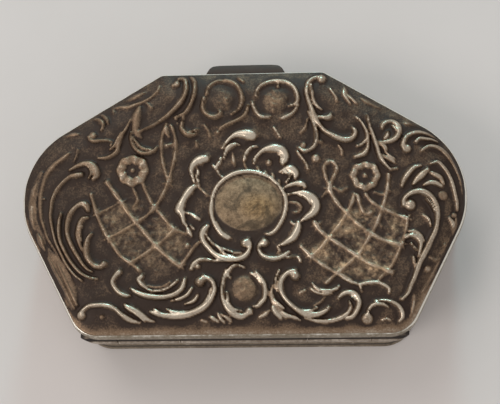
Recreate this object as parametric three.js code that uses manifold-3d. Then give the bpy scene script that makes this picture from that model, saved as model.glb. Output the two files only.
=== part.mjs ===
import * as THREE from "three";
import { mergeVertices } from "three/addons/utils/BufferGeometryUtils.js";
import Module from "manifold-3d";

// A small silver snuff box: a waisted six-sided case, a pressed lid in a half-round rim, a thumbpiece on
// the front edge and a five-knuckle hinge along the long back edge.
// Millimetres, +Z up, +Y from the hinge to the thumbpiece. The origin is under the middle of the base.

// Plan of the case. Corners are where the straight edges would meet if they weren't rounded.
const caseDepth = 34.2;
const backHalfWidth = 20.2;
const frontHalfWidth = 10.5;
const sideCornerX = 31.4;
const sideCornerY = 4.3;
const backCornerRadius = 4;
const frontCornerRadius = 1.6;
const sideCornerRadius = 10.5;
const backCornerSteps = 6;
const frontCornerSteps = 4;
const sideCornerSteps = 8;
const leastCornerRadius = 0.05;

// Body
const bodyHeight = 9.6;
const sheetThickness = 0.7;
const basePlateThickness = 0.7;
const wallFootInset = 0.35;
const wallBellyHeight = 6.4;
const footMouldingHeight = 1.8;
const footBeadHeight = 1.1;
const footBeadBulge = 0.6;
const footFilletBulge = 0.25;

// Bezel that the lid closes over
const bezelThickness = 0.6;
const bezelDepth = 3.2;
const bezelUpstand = 1.2;
const bezelEdgeChamfer = 0.15;

// Lid
const lidGap = 0.06;
const lidFit = 0.1;
const rimThickness = 0.6;
const rimLipHeight = 0.45;
const rimHeight = 2.2;
const rimLean = 0.42;
const rimSteps = 6;
const panelThickness = 0.5;
const panelEdgeStep = 0.16;
const panelBorderWidth = 3.6;
const panelBorderRise = 1.15;
const panelBorderSteps = 5;

// Hinge
const tubeRadius = 0.9;
const tubeInset = 0.5;
const pinRadius = 0.42;
const pinClearance = 0.03;
const tubeSides = 18;
const centreKnuckleHalf = 7.8;
const endKnuckleLength = 4.6;
const knuckleGap = 0.12;
const runningGap = 0.12;
const solderSeam = 0.03;
const bearerWidth = 1.2;
const bearerDrop = 1.7;
const bearerEndGap = 2.6;
const plugLength = 1.1;

// Thumbpiece
const thumbMiddleX = 0.2;
const thumbHalfLength = 5.2;
const thumbReach = 1.6;
const thumbTaper = 0.6;
const thumbThickness = 0.7;
const thumbDrop = 0.35;
const thumbCornerRadius = 0.7;

// Boss in the middle of the lid
const bossX = 0.7;
const bossY = -0.9;
const bossRadiusX = 4.3;
const bossRadiusY = 3.9;
const bossRise = 0.7;
const bossSteps = 4;
const bossSides = 28;

// Ridges of the ornament. Their places were read off the photograph at the sheet's height. The crests stand
// above it, where the same line of sight meets them a little nearer to the hinge.
const crestShiftY = -0.13;
const ridgeStep = 2.2;
const ridgeTurn = 28;
const ridgeSink = 0.22;
const ridgeTaper = 0.3;
const ridgeEndWidth = 0.45;
const ornamentInset = 1.1;
// Section of a scroll and of a wire between its two feet, as shares of the half width and of the height
const roundSection = [[0.62, 0.8], [0, 1], [-0.62, 0.8]];
const wireSection = [[0, 1]];
const beadSides = 8;
const beadLift = 0.35;
const wireWidth = 0.45;
const wireHeight = 0.3;
const flowerRadius = 1.75;
const flowerWidth = 0.55;
const flowerHeight = 0.42;
const flowerEyeRadius = 0.5;
const flowers = [[-13.8, 3.9], [15.4, 2.5]];

// Scrolls of the lid, from the middle outwards: the points that the ridge's crest runs through, the ridge's
// width and height at its thickest, and the size of the bead on its last point where it curls up to one.
const scrolls = [
  {
    through: [
      [-1.6, -5.1], [-3.1, -3.5], [-4.1, -0.7], [-3.4, 2.1], [-1.1, 3.4],
      [1.9, 3.4], [4.4, 1.7], [5.3, -1], [4.2, -3.5], [2.9, -4.4],
    ],
    width: 0.7, height: 0.5,
  },
  {
    through: [[-4.4, -3.3], [-5.2, -4.5], [-4, -6.7], [-1.8, -7.6], [0.5, -7], [0.9, -6], [0.3, -5.6]],
    width: 1.1, height: 0.65, bead: 0.65,
  },
  {
    through: [[5.6, -6.9], [3.5, -7.3], [1.8, -6.4], [1.9, -5.6], [2.8, -5.4]],
    width: 0.9, height: 0.6, bead: 0.6,
  },
  { through: [[5.3, 0.1], [7.2, 1], [8.9, -0.2], [8.7, -1.8], [7.1, -3]], width: 1.4, height: 0.75 },
  { through: [[7.3, -3], [6.4, -4.8], [4.6, -5.8]], width: 1.4, height: 0.6 },
  { through: [[5.2, 1.3], [6.7, 2.3], [7.8, 1.3]], width: 0.95, height: 0.55 },
  { through: [[4.9, 3.7], [6.4, 3.8], [6.8, 2.5]], width: 1.1, height: 0.6 },
  { through: [[1.5, 4.5], [2.7, 6.3], [4.4, 6.8], [5.6, 5.6], [5.1, 4.9]], width: 1.3, height: 0.7 },
  { through: [[-2.4, 6.6], [-1.9, 7.6], [0, 8.6], [0.9, 8.2]], width: 1.5, height: 0.7, bead: 0.85 },
  { through: [[-2, 5.3], [-1.5, 6.8], [-0.6, 7.1]], width: 0.85, height: 0.5 },
  { through: [[0.4, 5], [1, 6.5], [1.9, 6.6]], width: 0.65, height: 0.45 },
  { through: [[-6, 2.4], [-6.7, 4.3], [-5.7, 5.9], [-5.1, 5.5]], width: 1.25, height: 0.7, bead: 0.7 },
  { through: [[-5.4, 1.8], [-7.1, 1.2], [-8.2, -1.2], [-7, -3.2]], width: 1.4, height: 0.7 },
  { through: [[-4.5, -3.8], [-2.9, -5.9], [-0.5, -6.7]], width: 0.5, height: 0.45 },
  {
    through: [[-1.3, -7.9], [-4.2, -7.6], [-5.9, -7.8], [-6.3, -8.7]],
    width: 0.7, height: 0.45, bead: 0.48,
  },
  {
    through: [[-11.3, -14], [-8, -14.6], [-4.7, -13.5], [-3.4, -11.2], [-4.2, -9.8], [-5.2, -10.3]],
    width: 1.1, height: 0.65, bead: 0.63,
  },
  { through: [[-7.1, -10.1], [-8.1, -11.8], [-10.8, -12.3], [-13.7, -10.9]], width: 0.8, height: 0.55 },
  {
    through: [[0, -8.4], [-1.7, -8.9], [-2.5, -11.2], [-1.6, -13.9], [0.7, -14.2]],
    width: 0.75, height: 0.55,
  },
  { through: [[1.1, -9.3], [2.4, -10.3], [2.5, -12], [1.5, -13.3]], width: 0.9, height: 0.55 },
  {
    through: [
      [10.3, -13.8], [8.6, -14.5], [5.7, -13.3], [4.6, -10.9],
      [5.8, -9.1], [6.9, -9.4], [6.3, -10],
    ],
    width: 0.95, height: 0.65, bead: 0.48,
  },
  { through: [[4.4, -9.1], [3.9, -11.4], [4, -13.8], [6.9, -15]], width: 0.95, height: 0.55 },
  {
    through: [[7, -14.8], [10.2, -15.1], [13.3, -14.7], [14, -12.9], [13, -11.8], [11.9, -12.3]],
    width: 0.75, height: 0.55,
  },
  {
    through: [[18.8, -15.3], [19.2, -14.1], [17.2, -13], [15.2, -13.6], [15, -14.8]],
    width: 0.8, height: 0.55, bead: 0.63,
  },
  {
    through: [[-19.8, -14.6], [-18.4, -13], [-16.2, -13.2], [-13.5, -14.8], [-11.3, -15.1]],
    width: 0.8, height: 0.55,
  },
  { through: [[-13.3, -12], [-15.2, -11.6], [-16, -10.1], [-15.2, -9]], width: 0.75, height: 0.55 },
  {
    through: [[-18.8, -4.2], [-19.4, -6.4], [-18.5, -8.1], [-17.3, -7.9]],
    width: 0.8, height: 0.55, bead: 0.48,
  },
  {
    through: [[-19.4, -8.4], [-21.2, -5.6], [-21.7, -2.4], [-20.6, -0.4], [-19.4, -0.8]],
    width: 0.8, height: 0.6,
  },
  { through: [[-17.3, -9.4], [-19.4, -9.7], [-22.1, -6.6], [-22.9, -1.8]], width: 0.7, height: 0.45 },
  { through: [[-24.1, -2.4], [-23.9, 0.6], [-22.4, 2.9], [-20.9, 3.5]], width: 0.7, height: 0.45 },
  {
    through: [[-22.3, 3.7], [-20.4, 5], [-18.8, 4.6], [-18.7, 3.3], [-19.4, 2.9]],
    width: 0.8, height: 0.6,
  },
  {
    through: [[-12.9, 9.2], [-9.6, 10.8], [-7, 13.9], [-7.4, 16], [-8.4, 15.4]],
    width: 0.75, height: 0.55, bead: 0.57,
  },
  { through: [[-8.4, 10.7], [-6.4, 12.2], [-5.9, 15]], width: 0.6, height: 0.45 },
  { through: [[-10.9, 6.9], [-12.1, 6], [-13.7, 7], [-14, 9]], width: 0.8, height: 0.55 },
  { through: [[-7.5, 10.8], [-7.5, 9.2], [-5.8, 8.7]], width: 0.9, height: 0.55 },
  { through: [[-18, 5.6], [-16, 6.2], [-15.1, 8.5], [-14.2, 11.6]], width: 0.75, height: 0.55 },
  {
    through: [[-4.5, 13.5], [-4, 15], [-2.2, 15.5], [-0.2, 14.3], [-0.3, 12.4], [-1.2, 11.3]],
    width: 0.6, height: 0.45,
  },
  { through: [[-4.8, 13.3], [-4.9, 11.6], [-3, 10.9]], width: 0.7, height: 0.45, bead: 0.48 },
  {
    through: [[6, 12], [7.1, 13.1], [6.3, 14.9], [4.2, 15.5], [2.4, 14.8], [1.9, 13.4]],
    width: 0.7, height: 0.45,
  },
  { through: [[1.4, 12.6], [2, 11.3], [3.5, 10.5]], width: 0.7, height: 0.45 },
  {
    through: [[9, 15.8], [8.3, 14], [9.1, 11.2], [10.9, 8.7], [13.3, 7.8], [14.2, 8.8], [13.5, 9]],
    width: 0.8, height: 0.6,
  },
  {
    through: [[8.4, 11.4], [9.4, 9], [9, 6.7], [7.3, 6.4], [7.6, 7]],
    width: 0.7, height: 0.55, bead: 0.48,
  },
  { through: [[10, 15.4], [9, 13.6], [9.9, 11.3], [11.2, 10.8]], width: 0.75, height: 0.55 },
  { through: [[15.2, 10.2], [16.3, 8.1], [17, 5.8], [18.3, 3.5]], width: 0.8, height: 0.55 },
  { through: [[17.4, 7.1], [19.2, 7.3], [19.4, 9.2], [17.8, 9.2]], width: 0.8, height: 0.55 },
  {
    through: [[24.3, 6.9], [22.6, 8], [20.8, 7.7], [20.4, 6.5], [20.8, 6]],
    width: 0.9, height: 0.55, bead: 0.57,
  },
  {
    through: [[22.9, -5.9], [23.9, -2.6], [22.9, 0], [21, 0.6], [19.8, -0.6], [20.4, -1.4]],
    width: 1, height: 0.65, bead: 0.69,
  },
  { through: [[19.4, -12.6], [21.2, -9.4], [23.4, -5.3]], width: 0.7, height: 0.4 },
  { through: [[23.8, 4.1], [25.4, 3.3], [26.2, 0.6], [26.2, -1.8]], width: 0.7, height: 0.4 },
  { through: [[21.3, 1.7], [22.9, 3.1], [23.9, 3]], width: 1.2, height: 0.5 },
  { through: [[19.8, 1.6], [20.8, 3.3], [22.3, 3.8]], width: 0.8, height: 0.5 },
  { through: [[20.2, -5.2], [21.2, -4.9], [21.8, -6.6]], width: 0.85, height: 0.45 },
  { through: [[-14.5, -13], [-13.1, -13.9], [-11, -15]], width: 0.95, height: 0.5 },
];

// Wires of the two panels of trellis, and the loops that they end in
const wires = [
  [[-19, 0.9], [-17.8, -2.6], [-15, -7], [-12, -9.4]],
  [[-17, 2.4], [-14.2, -1.6], [-10.8, -5.6], [-7.6, -8.4]],
  [[-12.5, 2.3], [-10.9, -0.9], [-8.5, -3.7]],
  [[-16.6, -4.7], [-13.2, -2.8], [-10.9, -0.9], [-9.2, 2.3], [-10, 5.4], [-9.9, 9]],
  [[-13.6, -7.7], [-10.8, -5.6], [-8.6, -3.9]],
  [[-9.2, 2.3], [-8.5, 5.6], [-8.7, 9]],
  [[10.9, 1.3], [10.2, 3.8], [11.1, 4.6], [11.8, 3.7], [10.8, 1.1], [12.9, -2], [15.5, -4.4], [19.3, -6.1]],
  [[8.9, -3.1], [10.6, -5], [13.8, -7.2], [18.2, -9.4]],
  [[7.2, -6.1], [9.8, -8.4], [13.2, -10.3]],
  [[13.9, 0.4], [12.9, -2], [10.8, -4.8], [8.5, -7.3]],
  [[18.2, 2.6], [17.2, -1.6], [14.6, -6.6], [10.2, -10.6]],
];

// Derived places
const backEdgeY = -caseDepth / 2;
const frontEdgeY = caseDepth / 2;
const partingZ = bodyHeight;
const hingeY = backEdgeY + tubeInset;
const hingeZ = partingZ;
const rimBottomZ = partingZ + lidGap;
const rimTopZ = partingZ + rimHeight;
const bezelInset = sheetThickness;
const rimInnerInset = bezelInset - lidFit;
const rimTopInnerInset = rimLean + rimThickness;
const bezelTopZ = partingZ + bezelUpstand;
const rimShoulderZ = bezelTopZ + lidFit;
const bearerHalfLength = backHalfWidth - bearerEndGap;
const hingeHalfLength = backHalfWidth;
const lidKnuckleEnd = hingeHalfLength - endKnuckleLength;
const cutMargin = 1;

const edgePoints = caseOutline(0).map((p) => new THREE.Vector3(p.x, p.y, 0));

const wasm = await Module();
wasm.setup();

// Points of the case's plan, pushed in by an inset, anticlockwise seen from above. Their number never
// changes, so outlines at two insets can be joined point to point.
function caseOutline(inset) {
  const corners = [
    [-backHalfWidth, backEdgeY, backCornerRadius, backCornerSteps],
    [backHalfWidth, backEdgeY, backCornerRadius, backCornerSteps],
    [sideCornerX, sideCornerY, sideCornerRadius, sideCornerSteps],
    [frontHalfWidth, frontEdgeY, frontCornerRadius, frontCornerSteps],
    [-frontHalfWidth, frontEdgeY, frontCornerRadius, frontCornerSteps],
    [-sideCornerX, sideCornerY, sideCornerRadius, sideCornerSteps],
  ];
  const points = [];
  corners.forEach(([x, y, radius, steps], i) => {
    const corner = new THREE.Vector2(x, y);
    const before = new THREE.Vector2(...corners.at(i - 1)).sub(corner).normalize();
    const after = new THREE.Vector2(...corners[(i + 1) % corners.length]).sub(corner).normalize();
    const halfAngle = Math.acos(before.dot(after)) / 2;
    const inward = before.clone().add(after).normalize();
    const insetRadius = Math.max(radius - inset, leastCornerRadius);
    const centre = corner.clone().addScaledVector(inward, (inset + insetRadius) / Math.sin(halfAngle));
    const middle = Math.atan2(-inward.y, -inward.x);
    const sweep = Math.PI / 2 - halfAngle;
    for (let k = 0; k <= steps; k++) {
      const angle = middle + sweep * ((2 * k) / steps - 1);
      const spoke = new THREE.Vector2(Math.cos(angle), Math.sin(angle)).multiplyScalar(insetRadius);
      points.push(spoke.add(centre));
    }
  });
  return points;
}

function geometryFrom(vertices, triangles) {
  const geometry = new THREE.BufferGeometry();
  geometry.setAttribute("position", new THREE.Float32BufferAttribute(vertices, 3));
  geometry.setIndex(triangles);
  geometry.computeVertexNormals();
  return geometry;
}

// A band that follows the case's plan. The profile is a closed list of [inset, z], running up the outside
// and down the inside.
function bandGeometry(profile) {
  const vertices = [];
  const triangles = [];
  const loops = profile.map(([inset, z]) => caseOutline(inset).map((p) => [p.x, p.y, z]));
  const count = loops[0].length;
  loops.forEach((loop) => loop.forEach((p) => vertices.push(...p)));
  loops.forEach((_, row) => {
    const nextRow = (row + 1) % loops.length;
    for (let i = 0; i < count; i++) {
      const next = (i + 1) % count;
      const a = row * count + i;
      const b = row * count + next;
      const c = nextRow * count + next;
      const d = nextRow * count + i;
      triangles.push(a, b, c, a, c, d);
    }
  });
  return geometryFrom(vertices, triangles);
}

// A solid between two flat faces. The profile is an open list of [inset, z] from the lower face's edge,
// outwards, up and in to the upper face's edge.
function domedGeometry(profile) {
  const loops = profile.map(([inset, z]) => caseOutline(inset).map((p) => [p.x, p.y, z]));
  const count = loops[0].length;
  const triangles = [];
  for (let row = 0; row < loops.length - 1; row++) {
    for (let i = 0; i < count; i++) {
      const a = row * count + i;
      const b = row * count + ((i + 1) % count);
      triangles.push(a, b, b + count, a, b + count, a + count);
    }
  }
  const cap = THREE.ShapeUtils.triangulateShape(caseOutline(profile[0][0]), []);
  const last = (loops.length - 1) * count;
  cap.forEach(([a, b, c]) => triangles.push(a, c, b, last + a, last + b, last + c));
  return geometryFrom(loops.flat(2), triangles);
}

// Points of a half-round bead that stands out from a vertical face at the given inset.
function bead(inset, fromZ, toZ, bulge, steps) {
  return Array.from({ length: steps + 1 }, (_, k) => {
    const angle = (Math.PI * k) / steps;
    return [inset - bulge * Math.sin(angle), (fromZ + toZ) / 2 - ((toZ - fromZ) / 2) * Math.cos(angle)];
  });
}

function plateGeometry(inset, fromZ, toZ) {
  const shape = new THREE.Shape(caseOutline(inset));
  const plate = new THREE.ExtrudeGeometry(shape, { depth: toZ - fromZ, bevelEnabled: false });
  return plate.translate(0, 0, fromZ);
}

function boxGeometry(low, high) {
  const size = new THREE.Vector3().subVectors(high, low);
  const middle = new THREE.Vector3().addVectors(low, high).multiplyScalar(0.5);
  return new THREE.BoxGeometry(size.x, size.y, size.z).translate(middle.x, middle.y, middle.z);
}

// A cylinder on the hinge's axis, from one x to another.
function hingeCylinder(radius, fromX, toX) {
  return new THREE.CylinderGeometry(radius, radius, toX - fromX, tubeSides)
    .rotateZ(Math.PI / 2)
    .translate((fromX + toX) / 2, hingeY, hingeZ);
}

function solidFrom(geometry) {
  const bare = new THREE.BufferGeometry();
  bare.setAttribute("position", geometry.getAttribute("position"));
  bare.setIndex(geometry.getIndex());
  const merged = mergeVertices(bare, 1e-4);
  return new wasm.Manifold(
    new wasm.Mesh({
      numProp: 3,
      vertProperties: new Float32Array(merged.getAttribute("position").array),
      triVerts: new Uint32Array(merged.getIndex().array),
    }),
  );
}

function geometryOf(solid) {
  const mesh = solid.getMesh();
  return geometryFrom(mesh.vertProperties, Array.from(mesh.triVerts));
}

function silver(name, color, roughness) {
  return new THREE.MeshStandardMaterial({ name, color, roughness, metalness: 1 });
}

const finishes = {
  relief: silver("chased_silver", 0x8f867a, 0.38),
  plain: silver("plain_silver", 0x9a9288, 0.32),
  hinge: silver("hinge_silver", 0x857d74, 0.3),
};

const snuffBox = new THREE.Group();

function addPiece(name, geometry, finish) {
  const mesh = new THREE.Mesh(geometry, finishes[finish]);
  mesh.name = name;
  snuffBox.add(mesh);
}

// Hinge: spans of the five knuckles, and the troughs that the wall and the rim are cut to
const knuckles = [
  ["knuckle_body_left", -hingeHalfLength, -lidKnuckleEnd, "body"],
  ["knuckle_lid_left", -lidKnuckleEnd, -centreKnuckleHalf, "lid"],
  ["knuckle_body_centre", -centreKnuckleHalf, centreKnuckleHalf, "body"],
  ["knuckle_lid_right", centreKnuckleHalf, lidKnuckleEnd, "lid"],
  ["knuckle_body_right", lidKnuckleEnd, hingeHalfLength, "body"],
];

// What is cut from a piece on one side of the box: close to its own knuckles, and clear of the others.
function hingeTroughs(side) {
  return knuckles
    .map(([, fromX, toX, owner]) => {
      const radius = tubeRadius + (owner === side ? solderSeam : runningGap);
      const left = fromX === -hingeHalfLength ? fromX - cutMargin : fromX;
      const right = toX === hingeHalfLength ? toX + cutMargin : toX;
      return solidFrom(hingeCylinder(radius, left, right));
    })
    .reduce((all, one) => all.add(one));
}

const bodyTroughs = hingeTroughs("body");
const lidTroughs = hingeTroughs("lid");

function addBody() {
  addPiece("base_plate", plateGeometry(wallFootInset, 0, basePlateThickness), "plain");

  const bellySteps = 3;
  const belly = (baseInset) =>
    Array.from({ length: bellySteps + 1 }, (_, k) => {
      const share = k / bellySteps;
      const swell = (1 + Math.cos(Math.PI * share)) / 2;
      const z = footMouldingHeight + (wallBellyHeight - footMouldingHeight) * share;
      return [baseInset + wallFootInset * swell, z];
    });
  const wall = bandGeometry([
    [wallFootInset, basePlateThickness],
    ...belly(0),
    [0, partingZ],
    [sheetThickness, partingZ],
    ...belly(sheetThickness).reverse(),
    [wallFootInset + sheetThickness, basePlateThickness],
  ]);
  addPiece("body_wall", geometryOf(solidFrom(wall).subtract(bodyTroughs)), "plain");

  const foot = bandGeometry([
    [wallFootInset, 0],
    ...bead(wallFootInset, 0, footBeadHeight, footBeadBulge, 5).slice(1),
    ...bead(wallFootInset, footBeadHeight, footMouldingHeight, footFilletBulge, 3).slice(1),
  ]);
  addPiece("foot_moulding", foot, "plain");
}

function addBezel() {
  const inner = bezelInset + bezelThickness;
  const bezel = bandGeometry([
    [bezelInset, partingZ - bezelDepth],
    [bezelInset, bezelTopZ - bezelEdgeChamfer],
    [bezelInset + bezelEdgeChamfer, bezelTopZ],
    [inner - bezelEdgeChamfer, bezelTopZ],
    [inner, bezelTopZ - bezelEdgeChamfer],
    [inner, partingZ - bezelDepth],
  ]);
  const bearerY = backEdgeY + bezelInset + bearerWidth;
  const hingeRoom = boxGeometry(
    new THREE.Vector3(-bearerHalfLength, backEdgeY, partingZ - bearerDrop),
    new THREE.Vector3(bearerHalfLength, bearerY + cutMargin, bezelTopZ + cutMargin),
  );
  const endRoom = hingeCylinder(
    tubeRadius + runningGap,
    -hingeHalfLength - cutMargin,
    hingeHalfLength + cutMargin,
  );
  const cut = solidFrom(bezel).subtract(solidFrom(hingeRoom)).subtract(solidFrom(endRoom));
  addPiece("inner_bezel", geometryOf(cut), "plain");
}

function addBearers() {
  const bodyBearer = boxGeometry(
    new THREE.Vector3(-bearerHalfLength, backEdgeY + bezelInset, partingZ - bearerDrop),
    new THREE.Vector3(bearerHalfLength, backEdgeY + bezelInset + bearerWidth, partingZ - lidGap),
  );
  addPiece("body_hinge_bearer", geometryOf(solidFrom(bodyBearer).subtract(bodyTroughs)), "hinge");

  const lidBearer = boxGeometry(
    new THREE.Vector3(-bearerHalfLength, backEdgeY + rimInnerInset, rimBottomZ),
    new THREE.Vector3(bearerHalfLength, backEdgeY + bezelInset + bearerWidth, rimShoulderZ),
  );
  addPiece("lid_hinge_bearer", geometryOf(solidFrom(lidBearer).subtract(lidTroughs)), "hinge");
}

function addHinge() {
  const bore = solidFrom(
    hingeCylinder(pinRadius + pinClearance, -hingeHalfLength - cutMargin, hingeHalfLength + cutMargin),
  );
  // The outer knuckles and the plugs are filed to the corners' curve, as far out as the tube stands proud.
  const proud = tubeRadius - tubeInset;
  const filed = solidFrom(plateGeometry(-proud, 0, partingZ + rimHeight));
  knuckles.forEach(([name, fromX, toX]) => {
    const left = fromX === -hingeHalfLength ? fromX : fromX + knuckleGap / 2;
    const right = toX === hingeHalfLength ? toX : toX - knuckleGap / 2;
    const tube = solidFrom(hingeCylinder(tubeRadius, left, right)).subtract(bore).intersect(filed);
    addPiece(name, geometryOf(tube), "hinge");
  });

  const pinHalfLength = hingeHalfLength - plugLength;
  addPiece("hinge_pin", hingeCylinder(pinRadius, -pinHalfLength, pinHalfLength), "hinge");
  for (const [name, side] of [["hinge_plug_left", -1], ["hinge_plug_right", 1]]) {
    const inner = side * (pinHalfLength + knuckleGap);
    const outer = side * hingeHalfLength;
    const plug = solidFrom(hingeCylinder(pinRadius, Math.min(inner, outer), Math.max(inner, outer)));
    addPiece(name, geometryOf(plug.intersect(filed)), "hinge");
  }
}

function addRim() {
  const lipZ = rimBottomZ + rimLipHeight;
  const ovolo = Array.from({ length: rimSteps + 1 }, (_, k) => {
    const angle = (Math.PI / 2) * (k / rimSteps);
    return [rimLean * (1 - Math.cos(angle)), lipZ + (rimTopZ - lipZ) * Math.sin(angle)];
  });
  const rim = bandGeometry([
    [0, rimBottomZ],
    ...ovolo,
    [rimTopInnerInset, rimTopZ],
    [rimInnerInset, rimShoulderZ],
    [rimInnerInset, rimBottomZ],
  ]);
  addPiece("lid_rim", geometryOf(solidFrom(rim).subtract(lidTroughs)), "plain");
}

// How far a point lies in from the case's edge.
function insetAt(x, y) {
  const point = new THREE.Vector3(x, y, 0);
  const nearest = new THREE.Vector3();
  const side = new THREE.Line3();
  return edgePoints.reduce((least, corner, i) => {
    side.set(corner, edgePoints[(i + 1) % edgePoints.length]);
    return Math.min(least, side.closestPointToPoint(point, true, nearest).distanceTo(point));
  }, Infinity);
}

// Height of the panel's face at an inset from the case's edge: a rounded border up to a flat field.
function panelHeight(inset) {
  const share = THREE.MathUtils.clamp((inset - rimLean) / panelBorderWidth, 0, 1);
  return rimTopZ + panelEdgeStep + panelBorderRise * Math.sin((Math.PI / 2) * share);
}

// The panel's section over its border, from one inset to the field.
function panelProfile(startInset, drop) {
  const fieldInset = rimLean + panelBorderWidth;
  return Array.from({ length: panelBorderSteps + 1 }, (_, k) => {
    const inset = startInset + ((fieldInset - startInset) * k) / panelBorderSteps;
    return [inset, panelHeight(inset) - drop];
  });
}

// A sheet with its edge turned down on the rim: the underside outwards, the seat, then the face inwards.
function panelGeometry() {
  return domedGeometry([
    ...panelProfile(rimTopInnerInset, panelThickness).reverse(),
    [rimTopInnerInset, rimTopZ],
    [rimLean, rimTopZ],
    ...panelProfile(rimLean, 0),
  ]);
}

// The plain domed boss in the middle of the lid.
function bossSolid() {
  const topZ = panelHeight(insetAt(bossX, bossY));
  const profile = Array.from({ length: bossSteps + 1 }, (_, k) => {
    const share = 1 - k / bossSteps;
    return new THREE.Vector2(share, topZ + bossRise * (1 - share * share));
  });
  const dome = new THREE.LatheGeometry(
    [new THREE.Vector2(0, topZ - ridgeSink), new THREE.Vector2(1, topZ - ridgeSink), ...profile],
    bossSides,
  );
  return solidFrom(dome.rotateX(Math.PI / 2).scale(bossRadiusX, bossRadiusY, 1).translate(bossX, bossY, 0));
}

// A ridge that lies on the panel along a curve in plan and tapers towards its ends. Its flat underside is
// sunk in the sheet.
function ridgeSolid(through, width, height, section, closed = false) {
  const seen = through.map(([x, y]) => new THREE.Vector3(x, y + crestShiftY, 0));
  const curve = new THREE.CatmullRomCurve3(seen, closed);
  const stations = stationCount(curve);
  const vertices = [];
  for (let k = 0; k < (closed ? stations : stations + 1); k++) {
    const share = k / stations;
    const taper = closed ? 1 : Math.min(1, Math.min(share, 1 - share) / ridgeTaper);
    const swell = ridgeEndWidth + (1 - ridgeEndWidth) * Math.sin((Math.PI / 2) * taper);
    const crest = curve.getPointAt(share);
    const along = curve.getTangentAt(share);
    const addVertex = (across, rise) => {
      const x = crest.x - along.y * across;
      const y = crest.y + along.x * across;
      vertices.push(x, y, panelHeight(insetAt(x, y)) + rise);
    };
    const half = (width / 2) * swell;
    const top = height * swell;
    addVertex(half, -ridgeSink);
    section.forEach(([across, rise]) => addVertex(half * across, top * rise));
    addVertex(-half, -ridgeSink);
  }
  return solidFrom(geometryFrom(vertices, ridgeTriangles(stations, section.length + 2, closed)));
}

// Enough sections for the curve's turns, and for its length over the crowned panel.
function stationCount(curve) {
  const samples = 24;
  const tangents = Array.from({ length: samples + 1 }, (_, i) => curve.getTangentAt(i / samples));
  const turn = tangents.slice(1).reduce((sum, tangent, i) => sum + tangent.angleTo(tangents[i]), 0);
  const byTurn = Math.ceil(turn / THREE.MathUtils.degToRad(ridgeTurn));
  return Math.max(4, byTurn, Math.ceil(curve.getLength() / ridgeStep));
}

// Triangles between the sections of a ridge, and over its two ends unless it closes on itself.
function ridgeTriangles(stations, around, closed) {
  const triangles = [];
  for (let k = 0; k < stations; k++) {
    for (let i = 0; i < around; i++) {
      const next = (i + 1) % around;
      const here = k * around;
      const ahead = closed ? ((k + 1) % stations) * around : here + around;
      triangles.push(here + i, here + next, ahead + next, here + i, ahead + next, ahead + i);
    }
  }
  if (!closed) {
    const last = stations * around;
    for (let i = 1; i < around - 1; i++) {
      triangles.push(0, i + 1, i, last, last + i, last + i + 1);
    }
  }
  return triangles;
}

function beadSolid([x, seenY], radius) {
  const y = seenY + crestShiftY;
  const z = panelHeight(insetAt(x, y)) + radius * beadLift;
  const ball = new THREE.SphereGeometry(radius, beadSides, beadSides - 2);
  return solidFrom(ball.rotateX(Math.PI / 2).translate(x, y, z));
}

// A ring with a bead in its middle.
function flowerSolids([x, y]) {
  const ring = Array.from({ length: beadSides }, (_, k) => {
    const angle = (2 * Math.PI * k) / beadSides;
    return [x + flowerRadius * Math.cos(angle), y + flowerRadius * Math.sin(angle)];
  });
  return [
    ridgeSolid(ring, flowerWidth, flowerHeight, roundSection, true),
    beadSolid([x, y], flowerEyeRadius),
  ];
}

// The ornament stays within the lid's border, whatever the plan's size.
function addPanel() {
  const beaded = scrolls.filter((scroll) => scroll.bead);
  const ornament = [
    bossSolid(),
    ...wires.map((through) => ridgeSolid(through, wireWidth, wireHeight, wireSection)),
    ...flowers.flatMap(flowerSolids),
    ...scrolls.map(({ through, width, height }) => ridgeSolid(through, width, height, roundSection)),
    ...beaded.map(({ through, bead: size }) => beadSolid(through.at(-1), size)),
  ];
  const within = solidFrom(plateGeometry(ornamentInset, partingZ, rimTopZ + rimHeight + panelBorderRise));
  const relief = ornament.reduce((whole, piece) => whole.add(piece)).intersect(within);
  addPiece("lid_panel", geometryOf(solidFrom(panelGeometry()).add(relief)), "relief");
}

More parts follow.
